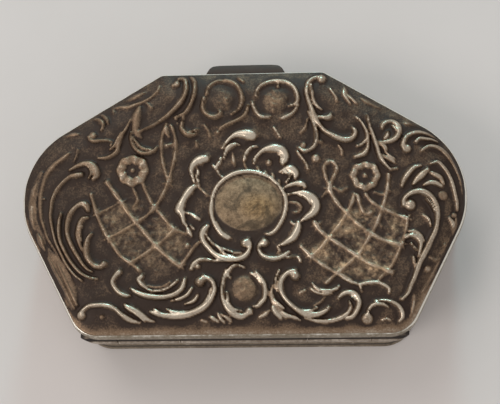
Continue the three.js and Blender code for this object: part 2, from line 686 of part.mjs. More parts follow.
// A curved plate soldered to the front of the rim, narrower and round-cornered at its tip.
function addThumbpiece() {
  const rootY = frontEdgeY + solderSeam;
  const tipY = frontEdgeY + thumbReach;
  const rootZ = rimBottomZ + thumbThickness;
  const tipZ = rootZ - thumbDrop;
  const section = new THREE.Shape();
  section.moveTo(rootY, rootZ);
  section.quadraticCurveTo((rootY + tipY) / 2, rootZ, tipY, tipZ);
  section.lineTo(tipY, tipZ - thumbThickness * 0.6);
  section.quadraticCurveTo((rootY + tipY) / 2, rootZ - thumbThickness, rootY, rootZ - thumbThickness);
  const bar = new THREE.ExtrudeGeometry(section, {
    depth: 2 * thumbHalfLength,
    bevelEnabled: false,
    curveSegments: 6,
  });
  // The section was drawn in (y, z) and pushed along the third axis, which becomes x.
  bar.rotateX(Math.PI / 2).rotateZ(Math.PI / 2).translate(-thumbHalfLength, 0, 0);

  const tipHalf = thumbHalfLength - thumbTaper;
  const plan = new THREE.Shape();
  plan.moveTo(-thumbHalfLength, rootY - cutMargin);
  plan.lineTo(thumbHalfLength, rootY - cutMargin);
  plan.lineTo(thumbHalfLength, rootY);
  plan.lineTo(tipHalf + thumbCornerRadius * 0.5, tipY - thumbCornerRadius);
  plan.quadraticCurveTo(tipHalf, tipY, tipHalf - thumbCornerRadius, tipY);
  plan.lineTo(-tipHalf + thumbCornerRadius, tipY);
  plan.quadraticCurveTo(-tipHalf, tipY, -tipHalf - thumbCornerRadius * 0.5, tipY - thumbCornerRadius);
  plan.lineTo(-thumbHalfLength, rootY);
  const trimmer = new THREE.ExtrudeGeometry(plan, {
    depth: rimHeight + bodyHeight,
    bevelEnabled: false,
    curveSegments: 4,
  });
  const trimmed = solidFrom(bar).intersect(solidFrom(trimmer)).translate([thumbMiddleX, 0, 0]);
  addPiece("thumbpiece", geometryOf(trimmed), "plain");
}

addBody();
addBezel();
addBearers();
addHinge();
addRim();
addPanel();
addThumbpiece();

export default snuffBox;
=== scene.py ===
import bpy
import numpy as np
from mathutils import Matrix, Vector


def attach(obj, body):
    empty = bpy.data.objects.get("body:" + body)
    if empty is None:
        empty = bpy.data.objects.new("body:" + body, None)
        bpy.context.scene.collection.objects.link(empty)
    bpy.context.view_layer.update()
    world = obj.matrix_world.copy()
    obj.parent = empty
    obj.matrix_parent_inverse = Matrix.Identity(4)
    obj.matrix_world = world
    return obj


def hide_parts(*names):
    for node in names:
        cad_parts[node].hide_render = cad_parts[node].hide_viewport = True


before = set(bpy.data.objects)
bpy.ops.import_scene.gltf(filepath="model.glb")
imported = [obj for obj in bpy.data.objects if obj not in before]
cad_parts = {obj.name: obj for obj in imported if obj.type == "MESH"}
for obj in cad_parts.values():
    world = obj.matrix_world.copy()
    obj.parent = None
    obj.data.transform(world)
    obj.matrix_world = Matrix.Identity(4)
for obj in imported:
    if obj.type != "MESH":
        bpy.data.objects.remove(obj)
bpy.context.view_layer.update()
print("stage: frame loaded")

mm = 0.001  # shapes are worked out in millimetres and go into the meshes in metres

camera = {
    "place": (6.85, -28.20, 132.87),
    "looks": (-0.0476, 0.2251, -0.9732),
    "up": (0.0164, 0.9743, 0.2245),
    "lens": 71.62,
    "sensor": 36,
}


def addObject(name, data):
    made = bpy.data.objects.new(name, data)
    bpy.context.scene.collection.objects.link(made)
    return made


def addCamera():
    data = bpy.data.cameras.new("photoCamera")
    data.sensor_fit = "HORIZONTAL"
    data.sensor_width = camera["sensor"]
    data.lens = camera["lens"]
    data.clip_start = 0.002
    data.clip_end = 20
    back = -Vector(camera["looks"]).normalized()
    right = Vector(camera["up"]).cross(back).normalized()
    turn = Matrix((right, back.cross(right), back)).transposed().to_4x4()
    holder = addObject("photoCamera", data)
    holder.matrix_world = Matrix.Translation(Vector(camera["place"]) * mm) @ turn
    bpy.context.scene.camera = holder


# Plan of the case, the same as the solids'
casePlan = {
    "depth": 34.2,
    "backHalf": 20.2,
    "frontHalf": 10.5,
    "sideX": 31.4,
    "sideY": 4.3,
    "backRound": 4.0,
    "sideRound": 10.5,
    "frontRound": 1.6,
    "arcSteps": 30,
    "edgeSteps": 16,
    "backSteps": 48,
}

# The hinge: its axis, its tubes, the seams and gaps between them, and the gaps of the troughs round them
hinge = {
    "y": -16.6,
    "z": 9.6,
    "tube": 0.9,
    "bore": 0.45,
    "edge": 0.07,
    "seams": (7.8, 15.6),
    "end": 20.2,
    "gap": 0.12,
    "ownGap": 0.03,
    "otherGap": 0.12,
    "endBeyond": 0.4,  # how far outside the corners' arcs the outer ends are filed to their curve
}


def unit(vectors):
    return vectors / np.linalg.norm(vectors, axis=1, keepdims=True)


def caseEdge():
    # Points of the plan's outline, anticlockwise from the back left corner, and the inward normal at each.
    # A corner is an arc about a fixed centre. An inset shorter than a corner's radius is the point plus the
    # inset times the normal.
    p = casePlan
    half = p["depth"] / 2
    corner = np.array([
        (-p["backHalf"], -half), (p["backHalf"], -half), (p["sideX"], p["sideY"]),
        (p["frontHalf"], half), (-p["frontHalf"], half), (-p["sideX"], p["sideY"]),
    ])
    radius = np.array([p["backRound"]] * 2 + [p["sideRound"]] + [p["frontRound"]] * 2 + [p["sideRound"]])
    before = unit(np.roll(corner, 1, 0) - corner)
    after = unit(np.roll(corner, -1, 0) - corner)
    halfAngle = np.arccos((before * after).sum(1)) / 2
    inward = unit(before + after)
    centre = corner + inward * (radius / np.sin(halfAngle))[:, None]
    middle = np.arctan2(-inward[:, 1], -inward[:, 0])
    sweep = np.pi / 2 - halfAngle
    points = []
    normals = []
    for i in range(len(corner)):
        turn = np.linspace(-1, 1, p["arcSteps"] + 1) * sweep[i]
        spoke = np.stack([np.cos(middle[i] + turn), np.sin(middle[i] + turn)], 1)
        points.append(centre[i] + radius[i] * spoke)
        normals.append(-spoke)
        j = (i + 1) % len(corner)
        turnNext = middle[j] - sweep[j]
        start = points[-1][-1]
        end = centre[j] + radius[j] * np.array([np.cos(turnNext), np.sin(turnNext)])
        if i == 0:  # the back edge also has a point on each side of every hinge seam
            sides = [(side, beside) for side in (-1, 1) for beside in (-0.01, 0.01)]
            seams = np.array([s * side + beside for s in hinge["seams"] for side, beside in sides])
            stops = np.union1d(np.linspace(start[0], end[0], p["backSteps"] + 2)[1:-1], seams)
            along = (stops - start[0]) / (end[0] - start[0])
        else:
            along = np.linspace(0, 1, p["edgeSteps"] + 2)[1:-1]
        points.append(start + (end - start) * along[:, None])
        normals.append(np.repeat(-spoke[-1:], len(along), 0))
    return np.concatenate(points), np.concatenate(normals)


edgePoint, edgeNormal = caseEdge()


def nearestOnPath(x, y, path):
    # Distance from each point to a path of straight steps, the share of the path's length where it is
    # nearest, the step that is nearest, and the side of it that the point is on.
    start = path[:-1]
    step = path[1:] - start
    length = np.hypot(step[:, 0], step[:, 1])
    dx = x[:, None] - start[:, 0]
    dy = y[:, None] - start[:, 1]
    t = np.clip((dx * step[:, 0] + dy * step[:, 1]) / length ** 2, 0, 1)
    away = np.hypot(dx - t * step[:, 0], dy - t * step[:, 1])
    best = away.argmin(1)
    row = np.arange(len(x))
    reach = np.concatenate([[0], np.cumsum(length)])
    share = (reach[best] + t[row, best] * length[best]) / reach[-1]
    side = np.sign(step[best, 0] * dy[row, best] - step[best, 1] * dx[row, best])
    return away[row, best], share, best, side


def insetAt(x, y):
    # How far each point lies in from the case's edge, worked out in slices to keep the arrays small.
    loop = np.concatenate([edgePoint, edgePoint[:1]])
    count = 60
    slices = zip(np.array_split(x.ravel(), count), np.array_split(y.ravel(), count))
    return np.concatenate([nearestOnPath(xs, ys, loop)[0] for xs, ys in slices]).reshape(x.shape)


def smoothStep(value, low, high):
    # 0 up to low and 1 from high on, eased at both ends.
    t = np.clip((value - low) / (high - low), 0, 1)
    return t * t * (3 - 2 * t)


def fadeOut(value, low, high):
    # 1 up to low and 0 from high on.
    return smoothStep(-value, -high, -low)


def gridFaces(rows, columns, closeRows=False, closeColumns=False):
    # Four-sided faces over a grid of rows x columns points, closed on itself either way if asked.
    r = np.arange(rows if closeRows else rows - 1)
    c = np.arange(columns if closeColumns else columns - 1)
    r, c = np.meshgrid(r, c, indexing="ij")
    r2 = (r + 1) % rows
    c2 = (c + 1) % columns
    faces = np.stack([r * columns + c, r * columns + c2, r2 * columns + c2, r2 * columns + c], -1)
    return faces.reshape(-1, 4)


def addPiece(name, points, faces, body, material, replaced, values, sharp):
    # A mesh with smooth shading up to the sharp angle, and a number per point for each named value.
    mesh = bpy.data.meshes.new(name)
    mesh.from_pydata((points.reshape(-1, 3) * mm).tolist(), [], [[int(i) for i in f] for f in faces])
    mesh.validate()
    for key, value in values.items():
        layer = mesh.attributes.new(key, "FLOAT", "POINT")
        layer.data.foreach_set("value", np.asarray(value, np.float32).ravel())
    mesh.materials.append(material)
    mesh.shade_smooth()
    mesh.set_sharp_from_angle(angle=np.radians(sharp))
    piece = addObject(name, mesh)
    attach(piece, body)
    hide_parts(replaced)


def srgb(r, g, b):
    # A colour from 0 to 255 as the linear values that a shader takes.
    c = np.array([r, g, b]) / 255
    linear = np.where(c < 0.04045, c / 12.92, ((c + 0.055) / 1.055) ** 2.4)
    return (*[float(v) for v in linear], 1.0)


def place(tree, kind, inputs=None, **settings):
    # Adds a node. An input that is given as another node's output is linked, any other is set.
    made = tree.nodes.new(kind)
    for key, value in settings.items():
        setattr(made, key, value)
    for key, value in (inputs or {}).items():
        if isinstance(value, bpy.types.NodeSocket):
            tree.links.new(value, made.inputs[key])
        else:
            made.inputs[key].default_value = value
    return made


def connect(tree, sockets, values):
    for key, value in values.items():
        tree.links.new(value, sockets[key])


def calc(tree, operation, a, b=0.0, clamp=False):
    return place(tree, "ShaderNodeMath", {0: a, 1: b}, operation=operation, use_clamp=clamp).outputs[0]


def plus(tree, a, b):
    return calc(tree, "ADD", a, b)


def times(tree, a, b):
    return calc(tree, "MULTIPLY", a, b)


def ramp(tree, value, low, high, toLow=0.0, toHigh=1.0):
    # From toLow at low to toHigh at high, eased at both ends.
    inputs = {"Value": value, "From Min": low, "From Max": high, "To Min": toLow, "To Max": toHigh}
    return place(tree, "ShaderNodeMapRange", inputs, interpolation_type="SMOOTHSTEP").outputs["Result"]


def mix(tree, share, a, b):
    return place(tree, "ShaderNodeMix", {0: share, 6: a, 7: b}, data_type="RGBA").outputs[2]


def attribute(tree, name):
    return place(tree, "ShaderNodeAttribute", attribute_name=name).outputs["Fac"]


def pointInPiece(tree):
    return place(tree, "ShaderNodeTexCoord").outputs["Object"]


def noise(tree, where, scale, detail=3.0, rough=0.55, twist=0.0):
    inputs = {"Vector": where, "Scale": scale, "Detail": detail, "Roughness": rough, "Distortion": twist}
    return place(tree, "ShaderNodeTexNoise", inputs).outputs["Fac"]


colour, number = "NodeSocketColor", "NodeSocketFloat"


def newGroup(name, inputs, outputs):
    tree = bpy.data.node_groups.new(name, "ShaderNodeTree")
    for label, kind in inputs.items():
        tree.interface.new_socket(label, in_out="INPUT", socket_type=kind)
    for label, kind in outputs.items():
        tree.interface.new_socket(label, in_out="OUTPUT", socket_type=kind)
    return tree, tree.nodes.new("NodeGroupInput").outputs, tree.nodes.new("NodeGroupOutput").inputs


def patinaGroup():
    # Silver that is bright where it is rubbed and dark where tarnish is left, in clouds of two sizes. It is
    # darker still where tarnish and painted shade are given.
    tree, given, out = newGroup(
        "patina",
        {
            "Bright": colour, "Dull": colour, "Dark": colour,
            "Rubbed": number, "Sheltered": number, "Clouds": number, "Scale": number,
        },
        {"Colour": colour, "Roughness": number, "Metal": number},
    )
    where = pointInPiece(tree)
    broad = noise(tree, where, given["Scale"], 4.0, 0.6, 0.4)
    fine = noise(tree, where, times(tree, given["Scale"], 9.0), 3.0, 0.65)
    cloud = plus(tree, times(tree, broad, 0.42), times(tree, fine, 0.58))
    cloud = times(tree, calc(tree, "SUBTRACT", cloud, 0.5), given["Clouds"])
    shine = plus(tree, given["Rubbed"], times(tree, cloud, 2.4))
    shine = calc(tree, "SUBTRACT", shine, times(tree, given["Sheltered"], 0.8), True)
    low = mix(tree, ramp(tree, shine, 0.0, 0.5), given["Dark"], given["Dull"])
    connect(tree, out, {
        "Colour": mix(tree, ramp(tree, shine, 0.4, 1.0), low, given["Bright"]),
        "Roughness": ramp(tree, shine, 0.05, 0.9, 0.56, 0.28),
        "Metal": ramp(tree, shine, 0.0, 0.55, 0.4, 0.8),
    })
    return tree


def scratchGroup():
    # Fine straight scratches in two directions: thin bands cut from noise that is drawn out along one line.
    tree, given, out = newGroup(
        "fineScratches", {"Scale": number, "Amount": number}, {"Mask": number, "Height": number},
    )
    where = pointInPiece(tree)
    lines = []
    for angle, shift in ((0.5, 0.013), (-0.95, 0.071)):
        turned = place(tree, "ShaderNodeMapping", {
            "Vector": where, "Location": (shift, shift, shift), "Rotation": (0.3, 0.2, angle),
            "Scale": (0.05, 1.0, 1.0),
        })
        drawn = noise(tree, turned.outputs["Vector"], given["Scale"], 2.0, 0.5)
        fromMiddle = calc(tree, "ABSOLUTE", calc(tree, "SUBTRACT", drawn, 0.5))
        lines.append(ramp(tree, fromMiddle, 0.0, 0.018, 1.0, 0.0))
    patchy = ramp(tree, noise(tree, where, 330.0, 2.0), 0.42, 0.62)
    mask = times(tree, calc(tree, "MAXIMUM", *lines), patchy)
    mask = calc(tree, "MULTIPLY", mask, given["Amount"], True)
    connect(tree, out, {"Mask": mask, "Height": times(tree, mask, -1.0)})
    return tree


def wearGroup():
    # Bare metal along worn edges: the piece's own edge value, broken up by noise.
    tree, given, out = newGroup("edgeWear", {"Edge": number, "Breaks": number}, {"Mask": number})
    rough = calc(tree, "SUBTRACT", noise(tree, pointInPiece(tree), 700.0, 4.0), 0.5)
    broken = times(tree, times(tree, rough, given["Breaks"]), 2.0)
    connect(tree, out, {"Mask": ramp(tree, plus(tree, given["Edge"], broken), 0.35, 0.75)})
    return tree


def pitGroup():
    # Height of small pits and grains, for the bump of metal that isn't polished.
    tree, given, out = newGroup("pitting", {"Scale": number}, {"Height": number})
    where = pointInPiece(tree)
    grain = noise(tree, where, given["Scale"], 3.0, 0.6)
    spots = place(tree, "ShaderNodeTexVoronoi", {"Vector": where, "Scale": times(tree, given["Scale"], 0.3)})
    pits = ramp(tree, spots.outputs["Distance"], 0.0, 0.22, -1.0, 0.0)
    connect(tree, out, {"Height": plus(tree, grain, times(tree, pits, 0.5))})
    return tree


groups = {
    "patina": patinaGroup(),
    "scratches": scratchGroup(),
    "wear": wearGroup(),
    "pits": pitGroup(),
}


def useGroup(tree, name, **inputs):
    return place(tree, "ShaderNodeGroup", inputs, node_tree=groups[name]).outputs


def newMaterial(name):
    material = bpy.data.materials.new(name)
    material.use_nodes = True
    tree = material.node_tree
    return material, tree, tree.nodes["Principled BSDF"]


def connectMetal(tree, shader, look, tone, roughness, metal, scratch):
    # Colour, gloss and metal, and a bump of scratches over a bump of pits.
    pits = useGroup(tree, "pits", Scale=look["pitScale"])
    rough = place(tree, "ShaderNodeBump", {
        "Strength": look["pitBump"], "Distance": look["pitDepth"], "Height": pits["Height"],
    })
    fine = place(tree, "ShaderNodeBump", {
        "Strength": look["scratchBump"], "Distance": look["scratchDepth"], "Height": scratch["Height"],
        "Normal": rough.outputs["Normal"],
    })
    connect(tree, shader.inputs, {
        "Base Color": tone, "Roughness": roughness, "Metallic": metal, "Normal": fine.outputs["Normal"],
    })


# The lid's finish: tones, a pair being its dark and its light, then how rubbed each place is, how strong
# each effect is, its scale, and the depths of the bumps in metres
lidLook = {
    "bright": (203, 188, 168),
    "dull": (130, 106, 84),
    "dark": (48, 32, 21),
    "olive": ((92, 75, 57), (168, 144, 115)),
    "warm": ((108, 84, 56), (196, 164, 120)),
    "gilt": ((126, 96, 68), (252, 216, 172)),
    "blotch": (60, 53, 43),
    "crestRubbed": 0.82,
    "groundRubbed": 0.145,
    "bossRubbed": 0.42,
    "underRubbed": 0.6,
    "bossRoughness": 0.62,
    "bossShare": 0.9,
    "blotchShare": 0.7,
    "giltShare": 0.85,
    "clouds": 0.5,
    "cloudScale": 520.0,
    "mottleScale": 1250.0,
    "blotchScale": 260.0,
    "patchScale": 420.0,
    "freckleScale": 1500.0,
    "giltScale": 4200.0,
    "scratches": 0.5,
    "scratchScale": 1500.0,
    "scratchBump": 0.4,
    "scratchDepth": 0.00002,
    "pitScale": 3600.0,
    "pitBump": 0.6,
    "pitDepth": 0.00006,
}

# What the plain finishes share, in the same units
plainLook = {
    "wornEdge": 0.5,
    "edgeBreaks": 0.5,
    "scratchRubbed": 0.3,
    "cloudScale": 240.0,
    "scratchScale": 1100.0,
    "scratchBump": 0.5,
    "scratchDepth": 0.00002,
    "pitScale": 2600.0,
    "pitBump": 0.25,
    "pitDepth": 0.00005,
}


def bossTone(tree, where):
    # Mottled olive brown, warmer where "ochre" is, with dark blotches.
    look = lidLook
    mottle = noise(tree, where, look["mottleScale"], 8.0, 0.85, 0.15)
    olive = mix(tree, ramp(tree, mottle, 0.32, 0.68), *[srgb(*tone) for tone in look["olive"]])
    warm = mix(tree, ramp(tree, mottle, 0.34, 0.66), *[srgb(*tone) for tone in look["warm"]])
    blotch = ramp(tree, noise(tree, where, look["blotchScale"], 5.0, 0.7, 0.6), 0.52, 0.62)
    plain = mix(tree, attribute(tree, "ochre"), olive, warm)
    return mix(tree, times(tree, blotch, look["blotchShare"]), plain, srgb(*look["blotch"]))


def chasedSilver():
    # The lid's face: bright where "rise" is high, dark with tarnish and painted shade in the hollows beside
    # the ridges and with painted shade towards the left end, mottled on the boss, and freckled with
    # gilt-brown grains where "grain" is. "under" is the sheet's underside, which is cleaner.
    look = lidLook
    material, tree, shader = newMaterial("chasedSilver")
    where = pointInPiece(tree)
    boss = attribute(tree, "boss")
    shine = plus(tree, times(tree, attribute(tree, "rise"), look["crestRubbed"]), look["groundRubbed"])
    shine = calc(tree, "MAXIMUM", shine, times(tree, boss, look["bossRubbed"]))
    shine = calc(tree, "MAXIMUM", shine, times(tree, attribute(tree, "under"), look["underRubbed"]))
    aged = useGroup(
        tree, "patina", Rubbed=shine, Sheltered=attribute(tree, "shadeAndTarnish"), Clouds=look["clouds"],
        Scale=look["cloudScale"], Bright=srgb(*look["bright"]), Dull=srgb(*look["dull"]),
        Dark=srgb(*look["dark"]),
    )
    tone = mix(tree, times(tree, boss, look["bossShare"]), aged["Colour"], bossTone(tree, where))
    patch = ramp(tree, noise(tree, where, look["patchScale"], 3.0, 0.6), 0.4, 0.62)
    freckle = ramp(tree, noise(tree, where, look["freckleScale"], 4.0, 0.7, 0.2), 0.42, 0.66, 0.2, 1.0)
    freckle = times(tree, times(tree, freckle, patch), attribute(tree, "grain"))
    speckle = noise(tree, where, look["giltScale"], 4.0, 0.7)
    gilt = mix(tree, speckle, *[srgb(*tone) for tone in look["gilt"]])
    tone = mix(tree, times(tree, freckle, look["giltShare"]), tone, gilt)
    roughness = calc(tree, "MAXIMUM", aged["Roughness"], times(tree, boss, look["bossRoughness"]))
    scratch = useGroup(tree, "scratches", Scale=look["scratchScale"], Amount=look["scratches"])
    connectMetal(tree, shader, look, tone, roughness, aged["Metal"], scratch)
    return material


def smoothSilver(name, rubbed, clouds, bright, dull, dark, scratches=0.6):
    # Plain silver with tarnish clouds, fine scratches and bare edges, which the "edge" value marks. It is
    # darker where a piece gives painted shade.
    look = plainLook
    material, tree, shader = newMaterial(name)
    wear = useGroup(tree, "wear", Edge=attribute(tree, "edge"), Breaks=look["edgeBreaks"])
    scratch = useGroup(tree, "scratches", Scale=look["scratchScale"], Amount=scratches)
    shine = plus(tree, times(tree, wear["Mask"], look["wornEdge"]), rubbed)
    shine = plus(tree, shine, times(tree, scratch["Mask"], look["scratchRubbed"]))
    aged = useGroup(
        tree, "patina", Rubbed=shine, Sheltered=attribute(tree, "shadeAndTarnish"), Clouds=clouds,
        Scale=look["cloudScale"], Bright=srgb(*bright), Dull=srgb(*dull), Dark=srgb(*dark),
    )
    connectMetal(tree, shader, look, aged["Colour"], aged["Roughness"], aged["Metal"], scratch)
    return material


# For each plain finish: how rubbed it is, how strong its clouds are, its bright, dull and dark tones, and
# how strong its scratches are where they are stronger than usual
finish = {
    "relief": chasedSilver(),
    "wall": smoothSilver("wallSilver", 0.42, 0.5, (228, 219, 203), (138, 124, 106), (72, 62, 53)),
    "rim": smoothSilver("rimSilver", 0.5, 0.45, (236, 230, 218), (140, 128, 110), (74, 64, 55)),
    "thumb": smoothSilver("thumbSilver", 0.05, 0.3, (176, 150, 130), (88, 70, 58), (56, 43, 35), 0.9),
    "hinge": smoothSilver("hingeSilver", 0.58, 0.45, (230, 220, 206), (134, 119, 104), (44, 36, 31)),
    "inside": smoothSilver("insideSilver", 0.66, 0.4, (232, 225, 208), (168, 154, 130), (104, 92, 76)),
}
print("stage: finishes made")

# Ridges of the ornament as they are seen on a level plane: each has its height and the points that its
# middle runs through, with its width there
centreRidges = [
    (0.42, [
        (-1.8, -5, 0.25), (-2.6, -4.4, 0.48), (-3.3, -3.4, 0.46), (-3.7, -2.4, 0.42), (-3.9, -1.3, 0.42),
        (-3.8, -0.4, 0.42), (-3.6, 0.6, 0.42), (-3.1, 1.7, 0.45), (-2.3, 2.5, 0.52), (-1.2, 3.2, 0.56),
        (0, 3.5, 0.54), (1.2, 3.5, 0.5), (2.4, 3.2, 0.5), (3.5, 2.6, 0.5), (4.3, 1.8, 0.48),
        (5, 0.9, 0.48), (5.4, -0.1, 0.48), (5.4, -1.1, 0.48), (5.1, -2.3, 0.45), (4.6, -3.3, 0.42),
        (4, -4.1, 0.38), (3.3, -4.5, 0.34), (3, -4.4, 0.25),
    ]),
    (0.3, [(-3.2, -2.9, 0.12), (-2.8, -3.7, 0.16), (-2.3, -4.3, 0.18), (-1.5, -4.9, 0.14)]),
    (0.62, [
        (-2.5, 6.6, 0.14), (-2.1, 7.2, 0.3), (-1.5, 7.9, 0.42), (-0.8, 8.35, 0.7), (0, 8.45, 1),
        (0.7, 8.35, 1.2), (1.2, 8.2, 1.15),
    ]),
    (0.5, [
        (-2.3, 5.4, 0.15), (-2.1, 6, 0.34), (-1.8, 6.6, 0.5), (-1.3, 7, 0.44), (-0.7, 7.15, 0.34),
        (-0.4, 7, 0.15),
    ]),
    (0.42, [
        (0.3, 5.1, 0.18), (0.4, 5.7, 0.3), (0.7, 6.2, 0.35), (1.1, 6.6, 0.35), (1.7, 6.8, 0.28),
        (1.9, 6.7, 0.14),
    ]),
    (0.6, [
        (1.5, 4.6, 0.14), (1.6, 5.2, 0.24), (2.1, 5.8, 0.36), (2.8, 6.3, 0.55), (3.6, 6.5, 0.85),
        (4.3, 6.5, 0.95), (5, 6.2, 0.95), (5.4, 5.6, 0.85), (5.4, 5, 0.75), (5.1, 4.5, 0.5),
    ]),
    (0.42, [(4.5, 5.7, 0.2), (4.9, 5.3, 0.3), (4.8, 4.7, 0.25)]),
    (0.56, [
        (4.7, 3.4, 0.14), (5.3, 3.7, 0.45), (5.9, 3.8, 0.9), (6.4, 3.5, 0.95), (6.7, 3, 0.75),
        (6.6, 2.6, 0.4),
    ]),
    (0.5, [(5.1, 3.2, 0.18), (5.5, 3.3, 0.28), (5.9, 3, 0.28), (5.9, 2.5, 0.24), (5.5, 2.1, 0.18)]),
    (0.5, [
        (5.2, 1.3, 0.18), (5.7, 1.6, 0.34), (6.3, 1.8, 0.46), (7.1, 1.9, 0.65), (7.6, 1.7, 0.65),
        (7.8, 1.4, 0.4),
    ]),
    (0.62, [
        (5.7, 0.5, 0.14), (6.3, 0.6, 0.2), (7, 0.7, 0.42), (7.7, 0.6, 0.75), (8.5, 0.1, 1), (9, -0.5, 1),
        (9.1, -1.2, 1), (8.7, -1.9, 0.85), (8, -2.4, 0.65), (7.4, -2.8, 0.35),
    ]),
    (0.62, [(7, 0.4, 0.1), (7.6, 0.2, 0.24), (8.1, -0.2, 0.26), (8.4, -0.7, 0.14)]),
    (0.58, [
        (6.9, -3.1, 0.5), (6.9, -3.7, 0.75), (6.6, -4.4, 0.85), (6.2, -5, 0.8), (5.6, -5.4, 0.65),
        (5.1, -5.7, 0.45), (4.6, -5.9, 0.18),
    ]),
    (0.3, [(6, -3, 0.12), (6.3, -3.3, 0.18), (6.6, -3.3, 0.14)]),
    (0.62, [
        (-4.3, -3.4, 0.5), (-4.7, -3.8, 0.7), (-5, -4.5, 0.6), (-4.8, -5.3, 0.55), (-4.2, -6.1, 0.55),
        (-3.4, -6.9, 0.6), (-2.5, -7.4, 0.75), (-1.5, -7.6, 0.65), (-0.3, -7.5, 0.6), (0.5, -7, 0.55),
        (0.9, -6.3, 0.45), (1, -5.7, 0.4), (0.7, -5.2, 0.45),
    ]),
    (0.42, [
        (-4.6, -4.2, 0.14), (-4.2, -4.9, 0.24), (-3.6, -5.6, 0.3), (-2.8, -6.1, 0.3), (-1.9, -6.4, 0.28),
        (-1, -6.75, 0.24), (-0.1, -6.75, 0.12),
    ]),
    (0.56, [
        (-3.2, -5.9, 0.12), (-2.7, -6.4, 0.3), (-2.3, -6.8, 0.34), (-1.8, -7.1, 0.28), (-1, -7.2, 0.14),
    ]),
    (0.58, [
        (2.6, -5.2, 0.4), (2.1, -5.8, 0.4), (2, -6.4, 0.36), (2.4, -7.1, 0.45), (3.2, -7.5, 0.5),
        (4.1, -7.55, 0.52), (4.9, -7.3, 0.5), (5.5, -6.9, 0.34), (5.7, -6.7, 0.15),
    ]),
    (0.36, [(5.4, -7.4, 0.16), (6.3, -7.35, 0.25), (6.9, -7.45, 0.26), (7.1, -8, 0.2)]),
    (0.26, [(4.3, -6.1, 0.25), (4.6, -6.6, 0.4), (4.2, -6.9, 0.2)]),
    (0.62, [
        (-4.6, 5.3, 0.85), (-5.2, 5.2, 1), (-5.8, 4.9, 0.85), (-6.3, 4.3, 0.6), (-6.4, 3.6, 0.45),
        (-6.2, 2.9, 0.34), (-6, 2.3, 0.18),
    ]),
    (0.42, [(-5.6, 3.9, 0.14), (-5.5, 3.4, 0.3), (-5.7, 3, 0.3), (-5.5, 2.3, 0.25), (-5.4, 1.8, 0.15)]),
    (0.22, [(-5.7, 1.8, 0.12), (-5, 1.2, 0.2), (-4.3, 0.5, 0.12)]),
    (0.62, [
        (-6, 1.7, 0.5), (-6.5, 1.3, 0.75), (-7, 0.6, 0.7), (-7.4, -0.1, 0.75), (-7.7, -0.8, 0.95),
        (-7.8, -1.3, 1), (-7.5, -1.7, 0.75), (-7.4, -2.3, 0.5), (-7.2, -3, 0.4), (-6.9, -3.2, 0.15),
    ]),
    (0.5, [(-7.7, -1, 0.6), (-8.2, -1.4, 0.2)]),
    (0.38, [(-7.1, -1.6, 0.15), (-6.4, -1.8, 0.3), (-5.8, -2.2, 0.4), (-5.3, -2.5, 0.3)]),
    (0.4, [(-6.9, -3.4, 0.2), (-6.7, -3.9, 0.45), (-6.4, -4.4, 0.38), (-6.3, -4.6, 0.15)]),
    (0.3, [(-6.4, -3.3, 0.12), (-6, -3.7, 0.16)]),
    (0.44, [(-2.7, 5.3, 0.18), (-2.8, 4.8, 0.36), (-3.1, 4.4, 0.4), (-3.2, 4, 0.18)]),
    (0.44, [(-3.7, 4.4, 0.16), (-3.3, 4, 0.28)]),
    (0.3, [(-3.1, 3.7, 0.2), (-2.9, 3.2, 0.25), (-2.4, 2.8, 0.2)]),
    (0.2, [(-1.2, 6, 0.2), (-1.1, 5.1, 0.4), (-0.9, 4.2, 0.2)]),
    (0.2, [(0.2, 5, 0.2), (0.3, 4.4, 0.3), (0.7, 3.7, 0.16)]),
    (0.22, [(1.9, 4, 0.14), (2.3, 3.5, 0.2)]),
    (0.24, [(2.9, 3.5, 0.14), (3.1, 3.1, 0.2)]),
    (0.24, [(3.8, 3.2, 0.16), (4, 2.6, 0.24)]),
    (0.22, [(4.6, 2.4, 0.14), (4.7, 1.9, 0.2)]),
    (0.2, [(6, -0.5, 0.3), (6.8, -0.6, 0.3), (7.3, -1.1, 0.3), (7.1, -1.7, 0.3), (6.4, -1.8, 0.2)]),
]

